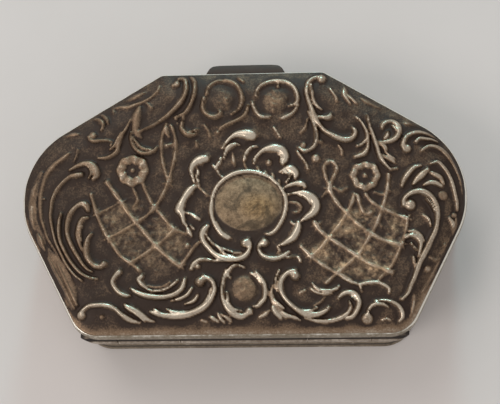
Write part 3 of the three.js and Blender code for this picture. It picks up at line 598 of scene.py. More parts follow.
backRidges = [
    (0.52, [
        (-15.2, -9, 0.6), (-15.7, -9.5, 0.5), (-16, -10.2, 0.48), (-15.6, -11, 0.5), (-15, -11.6, 0.5),
        (-14.3, -11.9, 0.42), (-13.8, -11.9, 0.25),
    ]),
    (0.56, [
        (-13.7, -11, 0.2), (-13, -11.5, 0.5), (-11.9, -11.9, 0.6), (-10.6, -12.1, 0.56),
        (-9.4, -12.1, 0.55), (-8.3, -11.8, 0.55), (-7.5, -11.2, 0.55), (-7.2, -10.6, 0.5),
        (-7.1, -10, 0.35),
    ]),
    (0.5, [(-12.4, -9.6, 0.5), (-12.8, -9.9, 0.45), (-12.4, -10.5, 0.5), (-11.8, -11, 0.34)]),
    (0.42, [
        (-12.1, -10.5, 0.2), (-11.6, -11.2, 0.3), (-10.5, -11.4, 0.32), (-9.4, -11.2, 0.32),
        (-8.6, -10.7, 0.3), (-8, -10.1, 0.2),
    ]),
    (0.22, [(-11.6, -10.7, 0.2), (-10.8, -10.9, 0.24), (-9.7, -10.8, 0.24), (-8.9, -10.3, 0.2)]),
    (0.36, [
        (-8.7, -12.6, 0.2), (-7.8, -12.4, 0.35), (-6.9, -12, 0.38), (-6.4, -11.4, 0.35), (-6.2, -11, 0.2),
    ]),
    (0.4, [(-7, -13, 0.2), (-6.2, -12.8, 0.4), (-5.7, -12.4, 0.4), (-5.5, -11.9, 0.2)]),
    (0.62, [
        (-4.8, -9.7, 0.5), (-4.1, -9.9, 0.55), (-3.6, -10.4, 0.5), (-3.4, -11.3, 0.5), (-3.7, -12.2, 0.55),
        (-4.3, -13.1, 0.6), (-5.3, -13.8, 0.65), (-6.6, -14.3, 0.7), (-8, -14.5, 0.65), (-9.2, -14.4, 0.6),
        (-10.3, -14.2, 0.5), (-11.2, -13.9, 0.32),
    ]),
    (0.45, [
        (-9.2, -13.6, 0.25), (-8.4, -14, 0.35), (-7.4, -14, 0.3), (-6.1, -13.8, 0.3), (-4.9, -13.1, 0.3),
        (-4.2, -12.2, 0.28), (-3.9, -11.2, 0.18),
    ]),
    (0.52, [(-10.8, -13.6, 0.2), (-10.2, -14, 0.4), (-9.5, -14.4, 0.3)]),
    (0.56, [
        (-19.8, -14.1, 0.5), (-19.5, -13.6, 0.4), (-18.8, -13.1, 0.42), (-17.8, -13, 0.48),
        (-16.9, -13, 0.5), (-16.1, -13.2, 0.48), (-15.4, -13.6, 0.42), (-14.9, -14.1, 0.48),
        (-14.2, -14.6, 0.6), (-13.4, -15, 0.5), (-12.5, -15.2, 0.2),
    ]),
    (0.46, [
        (-14.4, -13, 0.3), (-13.8, -13.5, 0.7), (-13, -13.9, 0.7), (-12.3, -14.3, 0.6),
        (-11.5, -14.9, 0.44), (-10.8, -15.1, 0.2),
    ]),
    (0.54, [(-14.3, -13.3, 0.16), (-13.4, -13.9, 0.24), (-12.6, -14.5, 0.24), (-11.9, -15, 0.16)]),
    (0.22, [(-5, -15, 0.3), (-4.4, -15.2, 0.3)]),
    (0.4, [(-3.9, -14.6, 0.26), (-3.4, -14.9, 0.42), (-3, -15.2, 0.26)]),
    (0.34, [(-3, -14.2, 0.24), (-2.7, -14.8, 0.36), (-2.2, -15.3, 0.26)]),
    (0.34, [(-2.6, -14.3, 0.26), (-1.9, -14.7, 0.46), (-1.4, -15.1, 0.36), (-1.6, -15.4, 0.2)]),
    (0.42, [
        (0.2, -8.6, 0.2), (-0.5, -8.3, 0.3), (-1.2, -8.4, 0.35), (-1.7, -9, 0.35), (-1.8, -9.6, 0.3),
        (-1.5, -9.8, 0.28),
    ]),
    (0.56, [
        (-2, -8.9, 0.24), (-2.3, -10, 0.4), (-2.5, -11.2, 0.4), (-2.4, -12.4, 0.45), (-1.9, -13.5, 0.6),
        (-1.2, -14.2, 0.74), (-0.3, -14.6, 0.7), (0.4, -14.4, 0.55), (0.8, -14, 0.6),
    ]),
    (0.5, [
        (-1.9, -11.7, 0.3), (-1.8, -12.7, 0.3), (-1.4, -13.4, 0.3), (-0.9, -13.8, 0.3),
        (-0.1, -13.9, 0.24),
    ]),
    (0.5, [
        (1.6, -9.2, 0.24), (2.1, -9.7, 0.36), (2.6, -10.5, 0.45), (2.8, -11.4, 0.5), (2.7, -12.4, 0.5),
        (2.2, -13, 0.5), (1.7, -13.4, 0.34),
    ]),
    (0.36, [(1, -9.3, 0.26), (1.7, -9.8, 0.34), (2.2, -10.6, 0.2)]),
    (0.3, [(2, -14.7, 0.28), (2.7, -14.4, 0.36), (3.3, -13.9, 0.2)]),
    (0.46, [
        (-6.3, -8.7, 0.4), (-6, -8.1, 0.5), (-5.4, -7.6, 0.42), (-4.6, -7.5, 0.34), (-3.5, -7.7, 0.3),
        (-2, -7.8, 0.24),
    ]),
    (0.62, [
        (6.4, -9.1, 0.5), (5.8, -9.2, 0.55), (5.2, -9.6, 0.58), (4.7, -10.3, 0.58), (4.6, -11.2, 0.54),
        (4.9, -12.1, 0.5), (5.6, -13, 0.5), (6.4, -13.7, 0.52), (7.3, -14.3, 0.62), (8.4, -14.5, 0.68),
        (9.3, -14.4, 0.6), (10.1, -14, 0.42), (10.4, -13.6, 0.34),
    ]),
    (0.5, [(9, -13.6, 0.24), (8.5, -13.9, 0.3), (7.7, -14, 0.3), (6.8, -13.8, 0.25), (5.9, -13.2, 0.16)]),
    (0.4, [(4.5, -9, 0.14), (4.1, -9.9, 0.26), (4, -10.8, 0.3), (4.2, -11.6, 0.2)]),
    (0.34, [(3.7, -10.8, 0.3), (3.5, -11.8, 0.5), (3.7, -12.7, 0.6), (4.3, -13.8, 0.7), (5.2, -14.6, 0.6)]),
    (0.52, [(3.9, -12.7, 0.2), (4.4, -13.2, 0.35), (5, -13.7, 0.28)]),
    (0.56, [(3.6, -13.5, 0.32), (4, -14.2, 0.5), (4.6, -14.8, 0.34)]),
    (0.5, [(4.9, -14.2, 0.3), (5.6, -14.6, 0.4), (6.4, -14.8, 0.35), (6.9, -15.1, 0.18)]),
    (0.46, [
        (7.5, -14.9, 0.2), (8.8, -15.2, 0.4), (10.1, -15.3, 0.45), (11.3, -15.1, 0.45),
        (12.2, -14.7, 0.45), (12.8, -14.2, 0.42), (13.1, -13.5, 0.34), (12.9, -12.9, 0.2),
    ]),
    (0.56, [
        (11.6, -12.5, 0.28), (12.1, -12, 0.45), (12.7, -11.8, 0.55), (13.4, -11.9, 0.6),
        (13.9, -12.4, 0.6), (14.1, -13.2, 0.55), (13.8, -14, 0.55), (13.3, -14.7, 0.5), (12.5, -15, 0.3),
    ]),
    (0.58, [(13.2, -12.3, 0.14), (13.6, -12.7, 0.22)]),
    (0.42, [
        (8.5, -10.7, 0.2), (8.9, -11.2, 0.3), (9.4, -11.5, 0.34), (10.2, -11.6, 0.36), (11, -11.5, 0.36),
        (11.5, -11.3, 0.34), (11.7, -11, 0.2),
    ]),
    (0.3, [(8.3, -11.3, 0.2), (9, -11.8, 0.3), (9.9, -12, 0.3), (10.8, -11.9, 0.26)]),
    (0.2, [(10, -12.3, 0.2), (9.4, -13, 0.28), (8.6, -13.4, 0.2)]),
    (0.2, [(7, -11.8, 0.2), (7.6, -11.5, 0.2)]),
    (0.34, [(12.1, -10, 0.25), (13.1, -10.5, 0.34), (14, -10.8, 0.3)]),
    (0.4, [
        (14.2, -10.9, 0.3), (15, -10.7, 0.4), (15.8, -10.6, 0.45), (16.6, -10.7, 0.4), (17.4, -11.1, 0.4),
        (17.8, -11.5, 0.34), (17.7, -11.9, 0.2),
    ]),
    (0.3, [(14.3, -11.1, 0.25), (14.4, -11.7, 0.2)]),
    (0.52, [
        (15.1, -14.4, 0.3), (15.2, -13.9, 0.34), (15.7, -13.4, 0.4), (16.3, -13.2, 0.4), (17, -13.3, 0.34),
        (17.5, -13.6, 0.18),
    ]),
    (0.42, [
        (16, -12.9, 0.2), (17, -12.8, 0.3), (18, -13, 0.36), (18.8, -13.5, 0.42), (19.2, -14.2, 0.45),
        (19.2, -14.9, 0.4), (18.8, -15.4, 0.18),
    ]),
    (0.28, [(16.8, -15.2, 0.2), (17.3, -15, 0.26), (17.7, -15.2, 0.16)]),
]

leftRidges = [
    (0.5, [
        (-21.8, 4.1, 0.28), (-20.9, 4.6, 0.45), (-20.1, 4.9, 0.6), (-19.2, 4.8, 0.8), (-18.6, 4.2, 0.9),
        (-18.4, 3.4, 0.8), (-18.8, 2.9, 0.4),
    ]),
    (0.56, [(-20.6, 4.6, 0.16), (-19.8, 4.7, 0.24), (-19.2, 4.2, 0.3), (-19, 3.6, 0.32), (-19.3, 3, 0.22)]),
    (0.46, [
        (-20.3, 3.5, 0.5), (-20.9, 3.4, 0.6), (-21.6, 3.3, 0.5), (-22.2, 2.9, 0.42), (-22.9, 2.2, 0.4),
        (-23.5, 1.3, 0.4), (-23.9, 0.2, 0.35), (-24, -1, 0.35), (-24, -2, 0.34), (-23.8, -3, 0.34),
        (-23.5, -4.2, 0.3), (-23.2, -5.2, 0.34), (-22.6, -6.4, 0.36), (-21.8, -7.9, 0.34),
        (-20.8, -9.2, 0.3), (-19.8, -10, 0.16),
    ]),
    (0.26, [
        (-22, 6.3, 0.3), (-22.7, 5.7, 0.5), (-23.6, 5, 0.6), (-24.4, 4.1, 0.6), (-24.9, 3.2, 0.55),
        (-25.2, 2.1, 0.5), (-25.4, 1, 0.5), (-25.4, -0.2, 0.5), (-25.3, -1.3, 0.45), (-25.2, -2.1, 0.4),
        (-24.8, -3.2, 0.35), (-24.4, -4.4, 0.36), (-23.8, -5.4, 0.36), (-23.1, -6.5, 0.36),
        (-22.2, -8.2, 0.34), (-21.2, -9.6, 0.24),
    ]),
    (0.26, [
        (-25.4, 3.8, 0.5), (-26, 2.2, 0.9), (-26.3, 0.4, 0.9), (-26.3, -1.4, 1.1), (-26, -3, 1.1),
        (-25.3, -4.6, 1.2), (-24.6, -6, 0.8),
    ]),
    (0.4, [(-25.9, 2.4, 0.3), (-26.2, 1.6, 0.55), (-26.3, 0.8, 0.3)]),
    (0.46, [(-26.4, -0.6, 0.3), (-26.4, -1.6, 0.6), (-26.2, -2.6, 0.55), (-26, -3.4, 0.3)]),
    (0.2, [(-25.9, -2.3, 0.3), (-25.5, -3.4, 0.3)]),
    (0.54, [(-25.5, -4.2, 0.4), (-25.2, -4.9, 0.75), (-24.9, -5.5, 0.6), (-24.5, -6.2, 0.3)]),
    (0.24, [(-25.5, -5, 0.3), (-25.1, -5.9, 0.36), (-24.6, -6.9, 0.3)]),
    (0.54, [
        (-19.3, -1.1, 0.55), (-19.6, -0.5, 0.8), (-20.2, -0.3, 0.65), (-21, -0.8, 0.5),
        (-21.5, -1.5, 0.55), (-21.8, -2.4, 0.55), (-21.9, -3.5, 0.5), (-21.7, -4.5, 0.5),
        (-21.2, -5.6, 0.5), (-20.7, -6.5, 0.48), (-20.3, -7.1, 0.45), (-19.7, -8, 0.4), (-19, -8.7, 0.3),
        (-18.5, -8.9, 0.16),
    ]),
    (0.44, [
        (-22.7, -1.5, 0.28), (-22.9, -2.7, 0.4), (-22.9, -3.8, 0.4), (-22.7, -4.9, 0.4), (-22.2, -6, 0.4),
        (-21.6, -7.1, 0.4), (-20.8, -8.2, 0.38), (-19.9, -9.1, 0.34), (-18.9, -9.6, 0.3),
        (-17.9, -9.8, 0.18),
    ]),
    (0.38, [
        (-19.3, -2.1, 0.35), (-19.9, -2.2, 0.5), (-20.3, -2.9, 0.55), (-20.5, -3.9, 0.55),
        (-20.4, -4.8, 0.5), (-20, -5.9, 0.4), (-19.6, -6.6, 0.25),
    ]),
    (0.44, [(-20, -3.1, 0.18), (-20.2, -4, 0.26), (-20, -5, 0.18)]),
    (0.52, [
        (-18.8, -4.2, 0.34), (-19.2, -4.7, 0.45), (-19.4, -5.6, 0.6), (-19.4, -6.4, 0.65),
        (-19.2, -7.1, 0.65), (-18.8, -7.7, 0.6), (-18.2, -8.2, 0.6), (-17.5, -8.3, 0.6), (-17.1, -8, 0.55),
    ]),
    (0.34, [
        (-24.2, -6.2, 0.8), (-23.3, -8, 1.9), (-22.2, -10, 2.1), (-21.2, -12, 1.7), (-20.7, -13.3, 0.7),
    ]),
    (0.5, [
        (-24, -7.2, 0.4), (-23.1, -8.9, 0.5), (-22.1, -10.6, 0.5), (-21.2, -12.3, 0.4), (-20.6, -13.4, 0.25),
    ]),
    (0.46, [(-22.8, -8, 0.4), (-21.9, -9.8, 0.5), (-21, -11.6, 0.5), (-20.3, -13, 0.35)]),
    (0.4, [(-24.5, -7.6, 0.3), (-23.5, -9.5, 0.35), (-22.4, -11.4, 0.35), (-21.5, -12.9, 0.3)]),
]

frontLeftRidges = [
    (0.5, [
        (-8.1, 15.9, 0.34), (-7.7, 16.1, 0.45), (-7.2, 15.6, 0.5), (-7.1, 14.5, 0.46), (-7.4, 13.5, 0.5),
        (-7.9, 12.7, 0.58), (-8.6, 11.9, 0.55), (-9.4, 11.1, 0.45), (-10.2, 10.5, 0.36),
        (-11.2, 9.9, 0.28), (-12.3, 9.4, 0.22), (-13, 9, 0.15),
    ]),
    (0.44, [
        (-6.6, 16.3, 0.38), (-6.1, 15.6, 0.4), (-6, 14.5, 0.4), (-6.2, 13.4, 0.42), (-6.6, 12.3, 0.42),
        (-7.2, 11.4, 0.4), (-7.9, 11, 0.35), (-8.6, 10.8, 0.2),
    ]),
    (0.52, [
        (-7.4, 10.9, 0.2), (-7.6, 10.1, 0.3), (-7.7, 9.4, 0.46), (-7.3, 8.8, 0.6), (-6.8, 8.4, 0.55),
        (-6.2, 8.4, 0.4), (-5.8, 8.6, 0.22),
    ]),
    (0.46, [(-6.7, 8.8, 0.25), (-5.9, 9, 0.25), (-5.7, 9.1, 0.15)]),
    (0.24, [(-5.8, 7.6, 0.2), (-5.7, 6.9, 0.18)]),
    (0.28, [(-10.6, 15, 0.25), (-10.8, 14.3, 0.28)]),
    (0.26, [
        (-10.9, 14.3, 0.24), (-11.7, 13.5, 0.26), (-12.8, 12.9, 0.3), (-13.7, 12.6, 0.36),
        (-14.5, 12.3, 0.36), (-15.6, 12.3, 0.3), (-16.4, 12.2, 0.24),
    ]),
    (0.24, [(-12.5, 14.2, 0.25), (-13.2, 13.9, 0.5), (-14, 13.5, 0.55), (-14.8, 13.2, 0.28)]),
    (0.22, [(-12.2, 12.8, 0.14), (-11.9, 12.5, 0.18), (-11.5, 12.1, 0.12)]),
    (0.3, [
        (-13.1, 12.2, 0.5), (-13.4, 11.2, 0.9), (-13.5, 10.1, 0.95), (-13.6, 9.3, 0.8), (-13.2, 8.6, 0.7),
        (-12.8, 8.2, 0.3),
    ]),
    (0.5, [
        (-14.1, 8.9, 0.24), (-14.1, 8.1, 0.34), (-13.8, 7.2, 0.4), (-13.3, 6.5, 0.42), (-12.6, 6.1, 0.44),
        (-11.8, 6.1, 0.42), (-11.1, 6.4, 0.4), (-10.8, 6.9, 0.24),
    ]),
    (0.42, [
        (-13.9, 8.3, 0.18), (-13.4, 7.6, 0.28), (-12.8, 6.9, 0.3), (-12, 6.6, 0.34), (-11.4, 6.6, 0.22),
    ]),
    (0.42, [
        (-14.2, 10.6, 0.2), (-14.7, 9.5, 0.35), (-15.3, 8.5, 0.5), (-15.6, 7.8, 0.55), (-15.7, 7.1, 0.5),
        (-15.9, 6.4, 0.5), (-16.5, 5.9, 0.45), (-17.2, 5.6, 0.4), (-18.2, 5.6, 0.2),
    ]),
    (0.46, [(-15.4, 8.9, 0.2), (-15.8, 8, 0.34), (-16.2, 7.1, 0.34), (-16.7, 6.7, 0.28)]),
    (0.42, [
        (-19.5, 8.4, 0.34), (-19.3, 8, 0.35), (-18.7, 7.8, 0.4), (-17.9, 7.9, 0.35), (-17, 7.9, 0.3),
        (-16.5, 7.7, 0.18),
    ]),
    (0.4, [
        (-18.8, 10.8, 0.2), (-18.3, 10.7, 0.35), (-17.8, 10.3, 0.4), (-17.7, 9.8, 0.3), (-17.9, 9.3, 0.28),
    ]),
    (0.42, [(-17.9, 11.3, 0.26), (-17.3, 10.8, 0.36), (-17.1, 10.2, 0.24)]),
    (0.24, [(-16.5, 12, 0.3), (-16.4, 11.6, 0.24)]),
    (0.3, [(-22.4, 8.6, 0.3), (-21.6, 8.8, 0.45), (-20.9, 8.8, 0.3)]),
    (0.2, [(-20.9, 6.8, 0.2), (-21, 6, 0.26), (-21.3, 5.2, 0.2)]),
    (0.32, [(-9.5, 9.4, 0.24), (-9.6, 8.7, 0.3), (-9.2, 8.2, 0.15)]),
    (0.24, [(-4.8, 9.7, 0.14), (-4.5, 9.3, 0.18), (-4.2, 8.8, 0.18), (-4.1, 8.2, 0.12)]),
    (0.34, [
        (-4.5, 13.8, 0.24), (-4.3, 14.7, 0.3), (-3.7, 15.3, 0.32), (-2.9, 15.6, 0.3), (-2.2, 15.5, 0.24),
    ]),
    (0.42, [
        (-2.1, 15.6, 0.36), (-1.3, 15.4, 0.42), (-0.7, 15, 0.4), (-0.3, 14.3, 0.38), (0, 13.5, 0.4),
        (0, 12.7, 0.38), (-0.2, 12.1, 0.35), (-0.5, 11.6, 0.3), (-1.3, 11.1, 0.2),
    ]),
    (0.5, [
        (-4.8, 13.3, 0.34), (-5, 12.6, 0.4), (-5, 11.9, 0.45), (-4.7, 11.3, 0.45), (-4.2, 10.9, 0.45),
        (-3.6, 10.7, 0.5), (-3, 10.9, 0.45), (-2.7, 11.3, 0.4), (-2.9, 11.6, 0.2),
    ]),
    (0.32, [
        (0.8, 12.2, 0.28), (0.6, 11.4, 0.34), (0.1, 10.7, 0.38), (-1, 10.1, 0.38), (-2, 9.7, 0.35),
        (-2.8, 9.2, 0.3),
    ]),
    (0.24, [(-0.4, 15.9, 0.2), (0.2, 15.4, 0.2)]),
]

frontRightRidges = [
    (0.46, [
        (1.8, 13.5, 0.28), (1.9, 14.1, 0.3), (2.4, 14.8, 0.35), (3.2, 15.2, 0.4), (4.1, 15.4, 0.42),
        (5.1, 15.3, 0.5), (5.9, 15.1, 0.45), (6.6, 14.5, 0.42), (7, 13.7, 0.42), (7.1, 12.8, 0.4),
        (6.8, 12.3, 0.3), (6, 12, 0.2),
    ]),
    (0.3, [(4.7, 15.1, 0.15), (4.6, 14.6, 0.15)]),
    (0.46, [
        (1.3, 12.6, 0.28), (1.5, 11.9, 0.35), (1.9, 11.1, 0.38), (2.5, 10.6, 0.42), (3.3, 10.6, 0.35),
        (3.6, 10.7, 0.2),
    ]),
    (0.4, [(7.1, 12.2, 0.2), (6.8, 11.5, 0.3), (6.2, 10.9, 0.35), (5.4, 10.5, 0.4), (5, 10.4, 0.3)]),
    (0.3, [(4, 9.2, 0.16), (4.4, 8.6, 0.18), (4.8, 7.9, 0.14)]),
    (0.58, [
        (9.6, 15.8, 0.34), (8.9, 15.5, 0.36), (8.4, 15, 0.38), (8.2, 13.9, 0.42), (8.4, 12.8, 0.44),
        (8.7, 11.9, 0.5), (9, 10.9, 0.65), (9.3, 10.1, 0.7), (9.7, 9.5, 0.5), (10.3, 8.7, 0.52),
        (11.2, 8.1, 0.56), (12.2, 7.6, 0.6), (13, 7.4, 0.6), (13.8, 7.6, 0.56), (14.2, 8.1, 0.52),
        (14.2, 8.6, 0.5), (13.9, 8.9, 0.3),
    ]),
    (0.4, [(8.8, 14.9, 0.24), (8.9, 13.7, 0.35), (9.1, 12.6, 0.4), (9.5, 11.9, 0.4), (10.1, 11.4, 0.2)]),
    (0.48, [(9.3, 10.5, 0.35), (10, 10.4, 0.46), (10.7, 10.3, 0.6), (11.1, 10.5, 0.6), (11.2, 10.8, 0.34)]),
    (0.5, [
        (8.4, 11.2, 0.15), (8.8, 10.2, 0.3), (9.2, 9.2, 0.36), (9.4, 8.4, 0.4), (9.4, 7.5, 0.4),
        (9.1, 6.7, 0.4), (8.5, 6.2, 0.4), (7.8, 6, 0.36), (7.3, 6.3, 0.3), (7.1, 6.5, 0.18),
    ]),
    (0.24, [(8.3, 10.3, 0.2), (8.1, 9.4, 0.25), (7.8, 8.9, 0.25), (7.4, 8.5, 0.2)]),
    (0.34, [(6.9, 6, 0.15), (7.4, 5.3, 0.2), (8, 4.4, 0.26), (8.2, 3.7, 0.3)]),
    (0.24, [(12.1, 6.7, 0.25), (12.5, 6.1, 0.25), (12.5, 5.5, 0.2)]),
    (0.24, [(11.2, 14.2, 0.15), (11.6, 13.6, 0.2), (12, 13, 0.18), (12, 12.6, 0.12)]),
    (0.3, [(13.1, 14.4, 0.3), (12.9, 13.5, 0.36), (13.3, 12.8, 0.36), (13.7, 12.2, 0.24)]),
    (0.26, [(13.2, 14.1, 0.2), (13.3, 13.4, 0.25), (13.9, 12.8, 0.35), (14.5, 12.2, 0.2)]),
    (0.18, [(15.1, 12.9, 0.3), (15.8, 12.4, 0.5), (16.5, 12, 0.4), (17.4, 11.5, 0.2)]),
    (0.2, [(20.7, 9.4, 0.4), (21.5, 9.3, 0.34), (22.3, 8.9, 0.2)]),
    (0.44, [
        (14.4, 10.3, 0.2), (14.9, 9.9, 0.25), (15.4, 9, 0.34), (15.7, 8.3, 0.42), (15.8, 7.6, 0.42),
        (15.4, 7.1, 0.36), (14.9, 6.7, 0.3), (14.4, 6.6, 0.2),
    ]),
    (0.42, [
        (15.9, 7.3, 0.28), (15.8, 6.8, 0.36), (15.7, 6.2, 0.45), (15.3, 5.6, 0.5), (14.7, 5.3, 0.45),
        (14.1, 5.2, 0.34),
    ]),
    (0.58, [
        (15.8, 10.5, 0.15), (15.9, 9.9, 0.25), (16.1, 8.9, 0.35), (16.4, 8, 0.45), (16.6, 7.3, 0.5),
        (16.9, 6.3, 0.5), (17.1, 5.4, 0.5), (17.4, 4.7, 0.5), (18, 3.9, 0.35), (18.5, 3.4, 0.15),
    ]),
    (0.36, [(17, 6.9, 0.35), (17.5, 6.7, 0.6), (17.9, 6.2, 0.6), (17.9, 5.6, 0.3)]),
    (0.36, [(17.1, 5.5, 0.3), (17.8, 5.1, 0.5), (18.6, 4.7, 0.55), (19, 4.3, 0.3)]),
    (0.4, [(17.9, 5.7, 0.2), (18.5, 5.1, 0.3), (19, 4.8, 0.25)]),
    (0.26, [(18, 3.8, 0.2), (18.7, 3.5, 0.3), (19.3, 3.6, 0.2)]),
    (0.44, [
        (17.6, 8.9, 0.35), (17.8, 9.4, 0.45), (18.4, 9.7, 0.45), (19.1, 9.6, 0.5), (19.6, 9, 0.65),
        (19.7, 8.2, 0.7), (19.3, 7.5, 0.6), (18.5, 7.1, 0.5), (17.8, 7, 0.4), (17.1, 7.1, 0.2),
    ]),
    (0.46, [(18.9, 9.1, 0.15), (19.3, 8.6, 0.2)]),
    (0.38, [(18.3, 8.3, 0.26), (18.2, 7.8, 0.4), (17.8, 7.4, 0.3)]),
    (0.5, [
        (20.3, 6, 0.5), (20.1, 6.5, 0.6), (20.2, 7, 0.56), (20.5, 7.6, 0.5), (21.1, 8, 0.46),
        (22, 8.2, 0.42), (23, 8, 0.4), (23.9, 7.6, 0.36), (24.7, 7.1, 0.2),
    ]),
    (0.46, [(21.7, 7, 0.3), (22.2, 7.4, 0.35), (22.9, 7.3, 0.35), (23.6, 7.2, 0.3), (24.4, 6.9, 0.2)]),
]

rightRidges = [
    (0.46, [
        (22.4, 5.8, 0.25), (22.9, 6.2, 0.34), (23.5, 6.4, 0.38), (24.3, 6.2, 0.45), (25.1, 5.6, 0.5),
        (25.9, 4.6, 0.5), (26.5, 3.5, 0.5), (27, 2.3, 0.5), (27.2, 1.2, 0.5), (27.3, 0, 0.5),
        (27.2, -1.1, 0.45), (26.9, -2.2, 0.3),
    ]),
    (0.42, [
        (23.4, 4.1, 0.2), (24.3, 4.3, 0.4), (25, 3.6, 0.45), (25.6, 2.6, 0.44), (26, 1.4, 0.42),
        (26.2, 0.3, 0.4), (26.4, -0.8, 0.4), (26.4, -1.9, 0.3),
    ]),
    (0.42, [(22.2, 3.9, 0.28), (21.4, 3.7, 0.5), (20.7, 3, 0.6), (20.1, 2.2, 0.55), (19.8, 1.4, 0.4)]),
    (0.46, [(23, 3.3, 0.55), (22.3, 2.7, 0.8), (21.6, 2.1, 0.65), (21.2, 1.5, 0.3)]),
    (0.36, [(23.5, 2.9, 0.5), (24.5, 2.3, 0.6), (24.9, 1.5, 0.34)]),
    (0.42, [(22.5, 1.4, 0.35), (23.2, 1.7, 0.55), (24, 1.6, 0.6), (24.6, 1.2, 0.4)]),
    (0.6, [
        (19.9, -1.1, 0.4), (19.9, -0.5, 0.5), (20.4, 0.1, 0.55), (21.1, 0.5, 0.65), (22, 0.6, 0.7),
        (22.8, 0.3, 0.7), (23.5, -0.4, 0.65), (23.9, -1.3, 0.6), (24, -2.3, 0.55), (23.9, -3.3, 0.5),
        (23.6, -4.4, 0.55), (23.1, -5.4, 0.6), (22.6, -6.4, 0.65), (22.1, -7.3, 0.65), (21.6, -8.2, 0.6),
        (21.2, -9.2, 0.55), (20.8, -10.2, 0.5), (20.4, -11, 0.45), (20, -12, 0.35), (19.3, -12.7, 0.3),
    ]),
    (0.62, [(22.7, -0.4, 0.16), (23.3, -1.1, 0.24), (23.6, -1.9, 0.16)]),
    (0.32, [(22.2, -2.4, 0.2), (22.7, -2.7, 0.3), (23, -3.2, 0.3), (23.1, -3.8, 0.2)]),
    (0.46, [
        (20, -5.2, 0.35), (20.5, -4.9, 0.5), (21.1, -5, 0.55), (21.6, -5.4, 0.55), (21.8, -6.1, 0.5),
        (21.6, -7, 0.4), (21.4, -7.6, 0.25),
    ]),
    (0.34, [(20.4, -4.4, 0.24), (21.1, -4.4, 0.4), (21.8, -4.9, 0.42), (22.2, -5.7, 0.3)]),
    (0.54, [(20.6, -5.9, 0.16), (21.2, -6.7, 0.25)]),
    (0.34, [(20.8, -7.6, 0.35), (20.9, -8.1, 0.4), (21, -8.9, 0.25)]),
    (0.36, [
        (25.4, -2.8, 0.3), (25.8, -3.5, 0.5), (26, -4.4, 0.5), (25.8, -5.4, 0.5), (25.3, -6.4, 0.5),
        (24.7, -7.4, 0.5), (24, -8.4, 0.45), (23.3, -9.5, 0.4), (22.6, -10.6, 0.34), (21.8, -11.8, 0.25),
    ]),
    (0.3, [(26.2, -2.9, 0.25), (26.2, -3.7, 0.3), (26.1, -4.8, 0.24)]),
    (0.3, [(22.8, -7.6, 0.2), (23.4, -8, 0.25), (24, -7.9, 0.16)]),
    (0.24, [(20.7, -12.3, 0.25), (20.7, -12.9, 0.3), (20.5, -13.9, 0.3), (20.3, -14.9, 0.2)]),
]

# Knobs and lumps: the middle of each, its radius and its height
knobs = [
    (0.35, -5.6, 0.62, 0.76), (2.7, -5.6, 0.6, 0.72), (3.35, 4.65, 0.4, 0.36), (1.2, 8.2, 0.6, 0.66),
    (-5.2, -10.3, 0.66, 0.84), (-5.5, -8.4, 0.36, 0.4), (0.8, -14, 0.52, 0.6), (1.4, -13.4, 0.2, 0.5),
    (6.4, -9.7, 0.66, 0.8), (15, -15, 0.74, 0.64), (-17.2, -14.5, 0.34, 0.3), (-19.7, -14.3, 0.56, 0.52),
    (-17.1, -7.9, 0.42, 0.6), (-24.9, 0.4, 0.2, 0.3), (-22.9, -2.8, 0.22, 0.5), (-8.3, 15.3, 0.42, 0.46),
    (-8.8, 15.1, 0.22, 0.4), (-8.4, 10.6, 0.24, 0.44), (-8.2, 10, 0.18, 0.3), (-16.6, 7.3, 0.26, 0.4),
    (-19, 8.6, 0.55, 0.36), (-17.9, 9.3, 0.2, 0.36), (-9.5, 7.1, 0.24, 0.4), (-3.1, 8.7, 0.3, 0.34),
    (7.7, 6.8, 0.45, 0.32), (10.2, 15.6, 0.6, 0.5), (9.2, 5.1, 0.6, 0.34), (9.9, 7.2, 0.35, 0.22),
    (17.6, 8.9, 0.24, 0.46), (20.6, 6.1, 0.6, 0.5), (21.8, 7, 0.24, 0.44), (22.5, 5.9, 0.24, 0.4),
    (20.7, -1.1, 0.76, 0.62), (24.7, 0, 0.7, 0.28), (26, -2.5, 0.38, 0.36), (24.7, -6.2, 0.24, 0.34),
    (22.5, -9.1, 0.46, 0.3), (21.2, 1.6, 0.24, 0.4), (19.2, -12.7, 0.3, 0.3), (-6.8, -5.8, 0.4, 0.34),
    (-10.7, -8.9, 0.2, 0.2), (12.9, 7.2, 0.2, 0.3),
]

